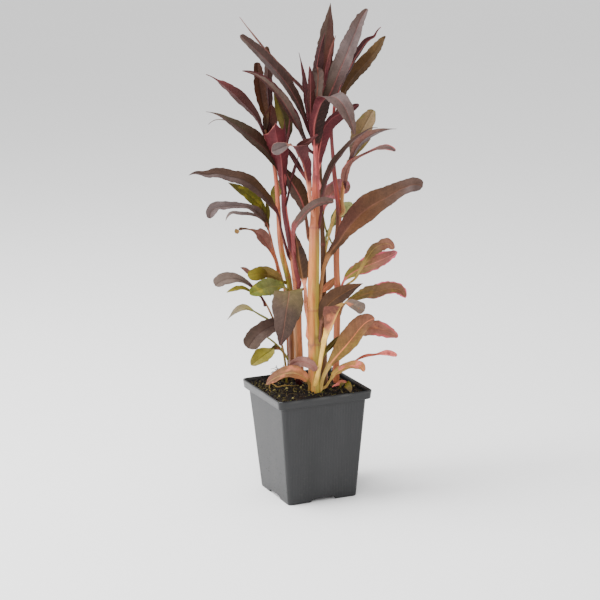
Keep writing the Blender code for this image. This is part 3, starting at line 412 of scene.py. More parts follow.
leaves = {
    # the crown of the main stem
    "crown_leaf_folded": dict(
        seat=("main_stem", 262, -115), stalkHalf=1.5, stalkTint="stalkPeach", stalkRun=1.3,
        route=[(4.8, 277, -14.5), (4, 286.5, -16), (2.5, 295.5, -18), (0.5, 305.5, -20), (-3, 313.5, -22.5),
        (-6, 319, -26), (-8.5, 322, -30), (-12.5, 322.5, -34), (-18, 320.5, -37), (-24, 318, -39),
        (-27.5, 317, -39.5)], facing=(180, 180, 30), fold=18, curl=10, outline=[(0, 3.6), (0.2, 3.8),
        (0.3, 5.5), (0.45, 8), (0.57, 9.5), (0.66, 11.5), (0.72, 13), (0.76, 7), (0.8, 3), (0.87, 9),
        (0.95, 13.5), (1, 11)], lop=[(0, 0), (0.2, -0.6), (0.72, -0.85), (0.79, 0), (1, 0)],
        top="greyPurple", under="brightMaroon brightMaroon greyPurple", rib="ribPink", ribTip=0.15,
        edge="greyPurple", margin=("creamPink", 0.2, 0.6)),
    # its deepBrown left half is painted shade, filling the dark gap behind the leaf beside the main stem
    "crown_leaf_arching": dict(
        seat=("main_stem", 300, -80), stalkHalf=1.7, stalkTint="pink", stalkRun=0.9,
        route=[(11.2, 313, -10.5), (10.5, 328, -11.5), (11, 340, -13), (14, 351.5, -17), (18, 360.5, -22),
        (23, 365, -29), (29, 365, -35), (36, 359, -41), (41, 349, -44), (45, 338, -45), (46.5, 331, -45)],
        facing=(180, 0), fold=12, curl=-14, outline=[(0, 3.4), (0.14, 3.6), (0.2, 7), (0.28, 12),
        (0.4, 14.5), (0.55, 15.5), (0.65, 16), (0.78, 14), (0.91, 8), (1, 2)], lop=[(0, 0), (0.18, -0.3),
        (0.46, -0.3), (0.6, 0), (1, 0)], top="mauveBrown greyPurple mauveBrown",
        under="roseDark brightMaroon brightMaroon maroon",
        left="deepBrown deepBrown deepBrown greyPurple mauveBrown", rib="ribPink", edge="greyPurple"),
    # its palePink stalk is the stalk's own pale colour with a painted highlight
    "crown_leaf_low_right": dict(
        seat=("main_stem", 286, -5), stalkHalf=1.2, stalkTint="palePink", stalkRun=1.1,
        route=[(12.9, 300, -6.5), (13.6, 307, -6.5), (15, 318, -5), (17, 327, -3), (19.5, 337.5, -1),
        (27.5, 346.5, 1.5), (36, 351, 3), (44, 355, 4), (51, 358, 5)], facing=(-172, -168, -155), curl=12,
        outline=[(0, 2.6), (0.12, 2.6), (0.22, 5), (0.36, 8), (0.55, 10.5), (0.72, 11.5), (0.87, 9),
        (1, 2)], lop=[(0, 0), (0.15, -0.5), (0.6, -0.6), (1, -0.3)], top="greyBrown",
        under="brightMaroon brightMaroon maroon"),
    "crown_leaf_low_left": dict(
        seat=("main_stem", 316, 180), stalkHalf=1.3, stalkTint="brightMaroon", route=[(7, 317, -8),
        (1, 328, -10), (-5.5, 341.5, -12), (-13, 356, -13), (-20.5, 367.5, -14), (-29.5, 377.5, -15),
        (-39.5, 385.5, -15), (-52, 389.5, -15)], facing=(60, 40, 40), fold=18, curl=12, outline=[(0, 3),
        (0.06, 4), (0.14, 9), (0.3, 12), (0.5, 12.5), (0.7, 10), (0.85, 6), (1, 1)],
        top="umber mauveDark mauveBrown", under="darkRed maroon",
        right="mauveDark mauveBrown greyBrown warmGrey", edge="roseDark", margin=("maroon", 1.5, 0.02)),
    # its dark right half and the blackBrown at the foot of its top are painted shade
    "crown_leaf_left": dict(
        seat=("main_stem", 327, -150), stalkHalf=1.5, stalkTint="maroon", route=[(5, 338, -4),
        (-3.4, 360, -3), (-13.5, 378, -5), (-23.5, 391, -6), (-35.5, 404, -8), (-45.5, 414, -9),
        (-53, 421, -10)], facing=(50, 35, 28, 25), fold=18, outline=[(0, 2.6), (0.12, 4), (0.28, 8.5),
        (0.45, 12), (0.66, 12), (0.86, 9.8), (0.96, 7), (1, 3.5)],
        top="blackBrown mauveBrown greyPurple warmGrey", right="blackBrown darkBrown mauveDark mauveBrown",
        rib="ribPink", edge="roseDark"),
    "crown_leaf_far_left": dict(
        seat=("main_stem", 345, 150), stalkHalf=1.2, stalkTint="maroon", route=[(7, 356.5, 6), (4, 367, 8),
        (0, 373, 9), (-10.5, 384, 13), (-22, 396.5, 18), (-28, 403.5, 21), (-42, 421.5, 26),
        (-53, 437, 30)], facing=(125, 125, 120, 110, 90), curl=10, outline=[(0, 2.4), (0.15, 4), (0.35, 6),
        (0.55, 6), (0.64, 4.5), (0.72, 4), (0.85, 3.2), (0.94, 2), (1, 0.9)], top="darkRed maroon roseDark",
        under="darkRed maroonBrown rosyBrown", rib="brightMaroon"),
    "crown_leaf_front": dict(
        seat=("main_stem", 333, -110), stalkHalf=1.5, stalkTint="brightMaroon", route=[(8.6, 345, -9.5),
        (8, 360, -12), (8.5, 380, -14), (7.5, 393, -14)], facing=170, curl=16, width=8, point=0.7, tooth=1,
        top="maroon brightMaroon", under="darkRed darkMaroon maroon", edge="darkRed"),
    "crown_leaf_right": dict(
        seat=("main_stem", 343, -15), stalkHalf=1.5, stalkTint="rose", route=[(17, 353, -5),
        (24.5, 366, -4), (30.5, 379, -4), (34.5, 389, -4), (39.5, 400, -5), (43.5, 410, -5), (49, 423, -6),
        (54, 434.5, -6), (59.5, 442, -6)], facing=(-32, -22), curl=6, outline=[(0, 2.4), (0.1, 3.6),
        (0.25, 12), (0.42, 17.5), (0.6, 18.5), (0.78, 14.5), (0.9, 9.5), (0.97, 5.5), (1, 2)],
        top="darkBrown ashBrown greyPurple mauveBrown", right="darkMaroon mauveDark greyPurple greyPurple",
        rib="ribPink", edge="darkBrown"),
    "crown_leaf_short": dict(
        seat=("main_stem", 350, -90), stalkHalf=1.3, stalkTint="brightMaroon", route=[(13, 361, -7),
        (14.5, 375, -9), (15, 386, -9.5), (14.5, 391.5, -9)], facing=0, fold=10, curl=20, outline=[(0, 2.4),
        (0.2, 7), (0.5, 9.5), (0.8, 10.5), (0.93, 9.5), (1, 6)], top="rosyTan warmGrey mauveDark",
        rib="salmon", edge="darkBrown", patch=("deepBrown", 0.16)),
    "crown_leaf_inner": dict(
        seat=("main_stem", 356, -60), stalkHalf=1.2, stalkTint="maroon", route=[(13.4, 370, -3.5),
        (13.6, 386, -4), (16, 402, -4), (21.8, 422, -4)], facing=160, curl=18, width=11, stalk=0.08,
        widest=0.4, point=1.1, tooth=0.8, top="maroon", under="darkRed", edge="brightMaroon"),
    "crown_leaf_tall": dict(
        seat=("main_stem", 358, 60), stalkHalf=1.2, stalkTint="maroon", route=[(15.8, 374, 4), (20, 400, 9),
        (23.8, 425, 14), (27, 448, 18)], facing=8, width=17, stalk=0.05, widest=0.4, point=1,
        top="darkRed mauveBrown greyBrown", right="darkBrown maroonBrown mauveDark", rib="brown"),
    # low on the main stem
    "stem_leaf_dark_left": dict(
        seat=("main_stem", 148, 180), stalkHalf=2.2, stalkTint="stalkPeach", stalkRun=1.5,
        route=[(2.5, 160, -19), (0, 175, -15), (-0.5, 190, -10), (-2.5, 203, -7), (-4.5, 216, -4),
        (-6, 230, 1), (-8, 243, 7)], facing=0, curl=10, width=11, stalk=0.45, widest=0.4, point=1,
        lop=[(0, 0), (0.45, 0.6), (1, 0.4)], top="tanDark tanDark deepBrown",
        right="umber umber blackBrown", rib="tan", edge="darkBrown"),
    "stem_leaf_back_left": dict(
        seat=("main_stem", 238, 170), stalkHalf=1.9, stalkTint="brownPink", stalkRun=1.2,
        route=[(3, 248, -5), (1.5, 260, 2), (-2, 273, 6), (-8.5, 286, 9), (-14.5, 297, 12), (-18, 306, 13)],
        facing=25, width=17, stalk=0.25, point=1, top="brownPink greyBrown mauveDark",
        right="umber umber darkBrown", rib="pink", edge="greyBrown"),
    "stem_leaf_slender": dict(
        seat=("main_stem", 250, -30), stalkHalf=1.6, stalkTint="roseDark", route=[(16, 262, -16.5),
        (19.5, 285, -16.5), (26.5, 303, -17), (35.5, 315, -18), (45, 325.5, -19), (54.5, 332.5, -20),
        (61.5, 336.5, -21), (67.5, 337, -22)], facing=(-50, -40), width=10, stalk=0.12, widest=0.4,
        point=1.2, top="deepBrown darkBrown ashBrown", under="brightMaroon maroon",
        right="roseDark mauveDark greyPurple", rib="maroon", edge="mauveLight"),
    "stem_leaf_great": dict(
        seat=("main_stem", 176, -20), stalkHalf=2.1, stalkTint="tan", stalkRun=1.3, route=[(15, 195, -16),
        (18, 212, -14), (24, 225, -14), (32, 235, -15), (37, 243, -16), (49, 257, -18), (60, 266, -20),
        (74, 273.5, -22), (91, 282.5, -24), (101, 285, -25), (107, 283, -25)], facing=(-30, -22, -15),
        fold=10, curl=6, outline=[(0, 4), (0.22, 4.2), (0.34, 8), (0.46, 14.5), (0.58, 22), (0.68, 24.5),
        (0.78, 20), (0.87, 15.5), (0.94, 14), (0.98, 10), (1, 4)],
        top="umber umber maroonBrown brown mauveBrown", under="maroon brown",
        right="oliveBrown umber russet brown greyPurple", rib="brownPink", edge="brown"),
    "stem_leaf_shadow": dict(
        seat=("main_stem", 146, -40), stalkHalf=1.8, stalkTint="brownPink", route=[(14.6, 160, -24),
        (18.7, 173, -26), (28, 182, -28), (37.6, 188, -29), (52.8, 195.5, -30)], facing=(-35, -25), curl=6,
        width=18, stalk=0.15, point=1.1, top="umber brown", right="umber umber deepBrown", rib="tanBrown",
        edge="darkBrown"),
    "base_leaf_folded": dict(
        seat=("main_stem", 105, -85), stalkHalf=2.3, stalkTint="strawPale", stalkRun=1.2,
        route=[(11, 112, -34), (15.5, 130, -36), (19.5, 146, -38), (25, 159, -41), (30.5, 171, -44),
        (34.5, 177, -47), (41, 176.5, -49.5), (47, 173.5, -51), (53.5, 169.5, -52)],
        facing=(180, 180, -150, -20), fold=16, outline=[(0, 4), (0.3, 4.2), (0.42, 5), (0.57, 9.5),
        (0.69, 14.5), (0.74, 9), (0.79, 4), (0.9, 11), (0.97, 13), (1, 12)], lop=[(0, 0), (0.3, 0.6),
        (0.7, 0.75), (0.79, 0), (1, 0)], top="greyPurple greyBrown warmGrey",
        under="straw brownPink roseDark", rib="strawPale", ribTip=0.1, edge="rose",
        patch=("salmonTan", 0.1)),
    "base_leaf_broad": dict(
        seat=("main_stem", 98, -30), stalkHalf=2, stalkTint="straw", route=[(15.5, 108, -29.5),
        (21, 119, -29), (30, 130, -29), (37, 138, -29.5), (43.5, 146, -30), (49, 153, -31), (55, 159, -32),
        (63, 162.5, -33)], facing=-25, outline=[(0, 3), (0.2, 4), (0.35, 9), (0.5, 17), (0.65, 22.5),
        (0.8, 22), (0.92, 15), (1, 4)], top="oliveTan oliveTan tanBrown brownPink", under="oliveTan maroon",
        right="oliveTan oliveTan oliveTan brownPink", rib="peachLight", edge="maroonBrown",
        patch=("tanBrown", 0.2)),
    "base_leaf_peach": dict(
        seat=("main_stem", 97, 12), stalkHalf=1.6, stalkTint="straw", route=[(17, 98.5, -22),
        (21, 104, -20), (27, 112, -18), (35, 116.4, -17), (44, 118.5, -16), (49.5, 117.5, -15.5),
        (52.8, 112.5, -15)], facing=(-40, -30), curl=6, width=11.5, stalk=0.2, widest=0.55, point=0.5,
        top="strawPale straw peachTan", under="peach pink", rib="strawLight", edge="salmon",
        patch=("palePink", 0.25)),
    "base_leaf_coral": dict(
        seat=("main_stem", 97, -140), stalkHalf=1.7, stalkTint="oliveTan", route=[(1.5, 104, -32),
        (-5, 110, -34), (-12.5, 112.5, -34), (-19, 112, -32), (-26, 109.5, -28), (-33, 105.5, -23),
        (-37, 102, -19)], facing=(40, 38), curl=10, width=16.5, stalk=0.12, widest=0.36, point=0.8,
        top="peachTan tanBrown brownPink", under="coral maroon", rib="straw", edge="pink",
        patch=("salmonTan", 0.2)),
    # the two left stems
    "left_leaf_arching": dict(
        seat=("left_stem_inner", 222, -160), stalkHalf=1.6, stalkTint="roseDark", route=[(-17, 232, 3),
        (-20, 245, 0), (-24, 262.5, -3), (-30, 271, -6), (-36.5, 279, -9), (-45, 287, -12), (-56, 293, -16),
        (-66, 295.5, -18), (-76, 298, -20), (-86.5, 297.5, -22), (-97, 299, -24), (-101.9, 297, -25)],
        facing=(50, 35, 25), width=14.5, stalk=0.28, top="ashBrown mauveBrown greyPurple",
        right="umber umber mauveBrown", rib="darkBrown", edge="roseDark"),
    "left_leaf_crossing": dict(
        seat=("left_stem_inner", 198, -40), stalkHalf=2.6, stalkTint="rose", stalkRun=1,
        route=[(-7.5, 210, 8), (-8.5, 225, 4), (-9.2, 238, -1), (-8, 249, -8), (-2, 256.5, -15),
        (5, 264, -21), (13, 269, -25), (20, 270.5, -27), (27.4, 270.5, -29)], facing=(100, -40, -40),
        outline=[(0, 5.5), (0.2, 5.8), (0.42, 4.2), (0.55, 6.5), (0.72, 11), (0.88, 10.5), (0.96, 8),
        (1, 3)], top="rose mauveBrown mauveBrown", under="roseDark maroonBrown maroon", edge="mauveBrown"),
    "left_leaf_spear": dict(
        seat=("left_stem_inner", 290, 175), route=[(-23, 304, 5), (-29, 314.5, 3), (-38, 324.5, 0),
        (-48, 333, -4), (-57, 340, -8), (-65, 345.5, -11), (-73, 350.5, -13), (-85, 354, -15)],
        facing=(50, 35, 35), width=17.5, stalk=0.04, widest=0.33, point=1.4,
        top="umber ashBrown greyPurple", under="maroon brown", right="darkBrown darkBrown greyGreen",
        rib="roseDark", edge="warmGrey"),
    "left_leaf_cup": dict(
        seat=("left_stem_inner", 282, -90), stalkHalf=1.5, stalkTint="rose", stalkRun=1.1,
        route=[(-18, 292, 2.5), (-18.3, 303, -0.5), (-19.3, 313, -3.5), (-21, 322, -6), (-23, 333, -8.5)],
        facing=180, fold=20, curl=34, outline=[(0, 6), (0.2, 9), (0.42, 13.5), (0.6, 18), (0.78, 21.5),
        (1, 25)], crown=[(-1, 12), (-0.78, 4.5), (-0.6, 1.5), (-0.35, 5), (-0.12, 10), (0.28, 4.4),
        (0.6, 0.5), (1, -1)], top="darkBrown darkRed", under="maroon brightMaroon brightMaroon",
        edge="roseDark", margin=("creamPink", 0.25, 0.88)),
    "left_leaf_olive_tip": dict(
        seat=("left_stem_inner", 317, 50), route=[(-14.5, 337, 9), (-17, 349, 14), (-20.5, 360, 17),
        (-24.5, 371, 18)], facing=(30, 20), curl=14, width=15, widest=0.45, point=1,
        top="oliveBright oliveSoft olive", right="darkBrown darkOlive maroonBrown", rib="oliveDeep"),
    "left_leaf_drooping": dict(
        seat=("left_stem_inner", 168, -90), stalkHalf=1.5, stalkTint="rosyTan", route=[(-11, 180, 5),
        (-12.5, 187.5, -4), (-14, 189, -13), (-15, 182, -20), (-17, 172, -23.5), (-18.5, 162.5, -26),
        (-20.5, 150.5, -29), (-23.5, 138.5, -31)], facing=(180, 0), fold=8, curl=-6, outline=[(0, 3),
        (0.18, 5), (0.29, 20), (0.38, 26), (0.6, 26.5), (0.76, 21), (0.9, 11), (1, 2.5)],
        top="oliveSoft oliveSoft ashBrown mauveDark", under="maroon mauveBrown",
        right="oliveSoft oliveSoft greyBrown mauveDark", rib="rosyTan", edge="darkRed"),
    "left_leaf_tip_brown": dict(
        seat=("left_stem_outer", 334, 130), route=[(-31.5, 344.5, 12), (-33, 353.5, 14), (-35, 363.5, 16),
        (-36.5, 373.5, 18), (-37.5, 383.5, 20), (-38.5, 397, 25)], facing=10, curl=10, outline=[(0, 2.6),
        (0.2, 5), (0.4, 9), (0.65, 11), (0.85, 9.5), (0.95, 7), (1, 4)], top="oliveBrown rust rust",
        under="darkBrown", rib="darkBrown", edge="darkBrown"),
    "left_leaf_tip_dark": dict(
        seat=("left_stem_outer", 332, 20), route=[(-29, 345, 16), (-29, 360, 20), (-29.5, 376, 25),
        (-29, 392.5, 31), (-30, 411, 34)], facing=160, curl=14, outline=[(0, 2.4), (0.3, 7), (0.5, 8.5),
        (0.75, 8), (0.92, 6), (1, 2.5)], top="maroon", under="darkBrown darkRed umber", rib="maroon",
        edge="brightMaroon"),
    "left_leaf_tip_pointed": dict(
        seat=("left_stem_outer", 335, -160), route=[(-39.5, 346.5, 6), (-43.5, 352.5, 5), (-52.5, 362, 2),
        (-58, 368, 0), (-69.5, 378, -3), (-79.5, 385, -5), (-84, 387, -5)], facing=(145, 140, 125), curl=14,
        outline=[(0, 2.4), (0.1, 4.2), (0.23, 8.5), (0.39, 12.5), (0.53, 14), (0.67, 11.5), (0.79, 8),
        (0.87, 2.2), (1, 1)], top="darkRed brown", under="deepBrown darkMaroon roseDark", rib="maroon",
        edge="pink"),
    "left_leaf_pale": dict(
        seat=("left_stem_outer", 190, -140), route=[(-20, 194, 17), (-28, 194, 10), (-35, 193, 2),
        (-42, 190.5, -6), (-50, 187, -13)], facing=(20, 15), curl=6, width=17, widest=0.55, point=0.42,
        top="leafGreen paleGreen leafGreen", under="khaki", rib="olivePale", edge="leafGreen",
        patch=("yellowGreen", 0.25)),
    "left_leaf_green": dict(
        seat=("left_stem_outer", 197, -175), route=[(-20.5, 198.5, 22), (-25, 201.5, 20.5),
        (-31.5, 205.5, 20), (-37.5, 209.5, 20), (-42, 212.5, 20)], facing=15, width=12, widest=0.45,
        point=0.7, top="khakiBrown oliveTan oliveSoft", under="khaki maroon", rib="paleOlive",
        edge="tanBrown"),
    "left_leaf_low": dict(
        seat=("left_stem_outer", 164, -150), route=[(-20, 162, 16), (-28, 158, 7), (-36, 154.5, 0),
        (-45, 147.5, -6), (-52.5, 136.5, -10)], facing=(20, 15), curl=4, outline=[(0, 2.8), (0.2, 8),
        (0.4, 15), (0.65, 17.5), (0.86, 17.5), (1, 10)], top="mauveBrown mauveBrown ashBrown",
        rib="mauveDark", edge="greyBrown", patch=("greyBrown", 0.25)),
    # the thin shoots on the left
    "shoot_leaf_green": dict(
        seat=("thin_shoot", 251, 20), route=[(-35.2, 261, 23), (-38.5, 267.5, 21.5), (-43, 272.8, 21),
        (-50, 279, 20), (-58.5, 284.5, 20), (-67, 290, 20)], facing=30, width=12.5, widest=0.45,
        top="oliveDeep oliveBright oliveDeep", under="maroon oliveBrown", rib="oliveBrown",
        edge="darkOlive", patch=("yellowOlive", 0.2)),
    "shoot_leaf_curled": dict(
        seat=("thin_shoot", 253, -110), route=[(-40, 261, 15), (-44, 264.5, 12), (-50, 267.5, 10),
        (-57, 268.5, 8), (-64, 268.5, 7), (-71, 268, 6), (-78.5, 267, 5), (-83, 263, 4), (-83.5, 257.5, 3)],
        facing=(60, 30, 15), curl=10, outline=[(0, 2.4), (0.25, 10), (0.42, 5.5), (0.6, 8), (0.82, 12),
        (0.94, 9), (1, 4)], top="umber greyPurple greyPurple", under="pink brown", rib="brown",
        edge="greyBrown"),
    "shoot_leaf_twisted": dict(
        seat=("thin_shoot", 211, -160), stalkTint="salmonTan", route=[(-27, 220, 26), (-30, 227, 24),
        (-34, 234.5, 22), (-38, 240.5, 20), (-43, 244, 18), (-49, 246.6, 15), (-55, 247, 13),
        (-59.5, 246, 12), (-59.3, 243, 11)], facing=(40, 25, 15), curl=10, outline=[(0, 2), (0.25, 3),
        (0.38, 6.5), (0.5, 12), (0.6, 12), (0.7, 5.5), (0.8, 4.5), (0.92, 6.5), (1, 4.5)],
        top="brown rosyBrown rosyBrown oliveTan", under="brown", edge="brown"),
    "shoot_leaf_round": dict(
        seat=("green_shoot", 139.5, -150), route=[(-31, 135, 29), (-37.5, 130.5, 20), (-44, 125.5, 11),
        (-50.5, 120.5, 5)], facing=20, curl=6, width=17, point=0.6, top="olivePale yellowGreen paleOlive",
        under="khaki", rib="olive", edge="darkOlive"),
    "shoot_leaf_grey": dict(
        seat=("tan_shoot", 180, -110), stalkHalf=1.2, stalkTint="roseDark", route=[(-43, 189, 14.5),
        (-49, 195, 12), (-56, 199.5, 9), (-64, 202, 6), (-73, 200.5, 3), (-81, 195.5, 0)], facing=(40, 30),
        outline=[(0, 2), (0.3, 3), (0.42, 5.5), (0.5, 8), (0.64, 12.5), (0.79, 14.5), (0.9, 13), (1, 6)],
        top="roseDark warmGrey warmGrey", under="maroon brown", rib="greyBrown", edge="paleGrey"),
    "shoot_leaf_fading": dict(
        seat=("tan_shoot", 157, 150), route=[(-33, 162.5, 22), (-41.5, 168, 24), (-48, 172, 26),
        (-55, 174.5, 28), (-61, 173, 29), (-68, 167, 30), (-71, 163.6, 30)], facing=(40, 30), width=7.5,
        stalk=0.42, widest=0.38, point=1.5, top="tan paleOlive paleGrey", under="tan khaki",
        rib="paleGreen", edge="yellowOlive"),
    # the right stem, its branch and the back stem
    "right_leaf_twisted": dict(
        seat=("right_stem", 343, -60), route=[(30.5, 362, 9), (34, 374, 9), (38.5, 383.5, 10),
        (43, 390.5, 10), (48, 399.5, 11), (53, 406.5, 11), (58, 413, 11), (61.5, 415.5, 12),
        (65, 417.5, 12), (67.5, 422, 12), (71, 426, 12)], facing=(-140, -140, -125), curl=16,
        outline=[(0, 2.2), (0.2, 4), (0.4, 8), (0.62, 9), (0.78, 8), (0.87, 5), (0.94, 2.5), (1, 1)],
        top="maroon", under="roseDark darkRed maroon", rib="pink", edge="brightMaroon"),
    "right_leaf_high": dict(
        seat=("right_stem", 346, 50), route=[(31, 352, 17), (36.4, 365.5, 20), (38.8, 371.5, 21),
        (43.4, 379, 22), (50, 387, 24), (57, 394.5, 26), (64, 402.5, 28), (70.5, 412, 29), (75, 418, 30)],
        facing=(-150, -145), curl=10, width=15, stalk=0.12, widest=0.58, point=0.6, top="oliveBrown",
        under="rust oliveRust oliveRust khakiBrown", rib="brown", edge="brown", patch=("oliveRust", 0.3)),
    "right_leaf_striped": dict(
        seat=("right_stem", 190, 15), route=[(37, 200, 19), (43, 205, 20), (52.5, 210, 21), (63, 214, 22),
        (73, 218.5, 24), (84, 224, 25)], facing=-20, curl=6, width=16.5, point=0.55, tooth=0.9,
        top="yellowGreen paleOlive rosyTan mottledPink", under="khaki rosyTan", rib="palePink",
        edge="brightPink", patch=("paleOlive", 0.22), margin=("brightPink", 1.7, 0.32)),
    "right_leaf_tipped": dict(
        seat=("right_stem", 169, -30), route=[(37, 178, 12), (48, 183, 8), (57, 186, 6), (64, 187, 4),
        (75, 189.5, 2), (86, 188.5, 0), (91, 181, -1)], facing=(-35, -30, -10), width=16, stalk=0.15,
        widest=0.6, point=0.6, tooth=0.9, top="yellowOlive khakiBrown brownPink", under="rosyTan pinkBrown",
        rib="tan", edge="brightPink", patch=("oliveTan", 0.24), margin=("brightPink", 1.3, 0.5)),
    "right_leaf_pink": dict(
        seat=("right_stem", 133, -30), route=[(36, 144, 13), (45, 150, 8), (57, 153, 4), (64, 153.5, 1),
        (71, 151.5, -1), (78, 148, -3), (84, 144.5, -5)], facing=(-15, -10), curl=6, width=15, stalk=0.12,
        widest=0.6, point=0.5, tooth=0.8, top="oliveTan khaki rosyTan pinkBrown", under="rosyTan pink",
        rib="peachTan", edge="pink", patch=("peachTan", 0.12), margin=("pink", 2.2, 0.62)),
    "right_leaf_thread": dict(
        seat=("right_stem", 113, -10), route=[(37, 119, 19), (44, 122.5, 21), (49, 125.5, 22),
        (56, 127.8, 24), (63, 128.5, 26), (69, 129.5, 27), (76, 129.5, 29), (83, 127, 30)],
        facing=(-40, -30), outline=[(0, 1.6), (0.3, 1.6), (0.5, 3.6), (0.65, 2.4), (0.85, 7.2), (1, 3)],
        top="pink palePink palePink", under="pink", rib="coral", edge="brightPink", patch=("pink", 0.2)),
    "branch_leaf_blunt": dict(
        seat=("right_branch", 305, 70), route=[(46, 320, 23), (52.3, 333, 31), (58.3, 344, 39),
        (63.5, 353, 45)], facing=-10, curl=4, width=17.5, widest=0.6, point=0.45, tooth=0.9,
        top="warmGrey khakiBrown khaki", under="brownPink khaki", rib="greyBrown", edge="khaki",
        patch=("oliveSoft", 0.3)),
    "branch_leaf_pink": dict(
        seat=("right_branch", 300, -10), route=[(43.8, 309, 11.5), (47, 317, 13.5), (52.5, 324.5, 15),
        (59.5, 329.5, 16), (66.5, 333, 17), (75, 335, 18), (84, 335.5, 19)], facing=(-45, -35), curl=10,
        width=10, widest=0.4, point=1.6, top="darkBrown rosyBrown warmGrey", under="maroon pink",
        right="greyPurple greyPurple paleGrey", rib="maroon", edge="pink"),
    "branch_leaf_curled": dict(
        seat=("right_branch", 288, -60), route=[(39, 298, 9), (43.5, 305.5, 7), (51, 311, 5),
        (60, 315.5, 3), (70, 318.5, 1), (77.5, 318.5, 0), (83, 315.5, -1)], facing=(-30, -60, -20), curl=14,
        outline=[(0, 2.8), (0.2, 9), (0.42, 6.5), (0.6, 3.4), (0.82, 6.5), (1, 2.4)],
        top="rosyBrown rosyBrown greyPurple", under="maroon greyBrown", rib="maroon", edge="greyBrown",
        margin=("pink", 0.8, 0.1)),
    "back_leaf_mottled": dict(
        seat=("back_stem", 260, 60), route=[(21, 271, 18), (27, 280, 31), (34, 284, 39), (41.5, 281, 45)],
        facing=(-20, -15), curl=4, width=18, widest=0.6, point=0.45, top="brown rosyBrown rosyBrown",
        under="rosyBrown rosyTan", rib="pink", edge="mottledPink", patch=("mottledPink", 0.45),
        margin=("mottledPink", 2, 0.3)),
    "back_leaf_pale": dict(
        seat=("back_stem", 232, 45), route=[(21, 242, 12), (26, 250, 23), (32, 260, 36), (38, 265.5, 44),
        (44.5, 268, 50)], facing=(-15, -10), curl=4, width=12, stalk=0.25, widest=0.65, point=0.4,
        top="khaki midGreen greenPale", under="paleGreen", rib="paleGreen", edge="paleGreen"),
}

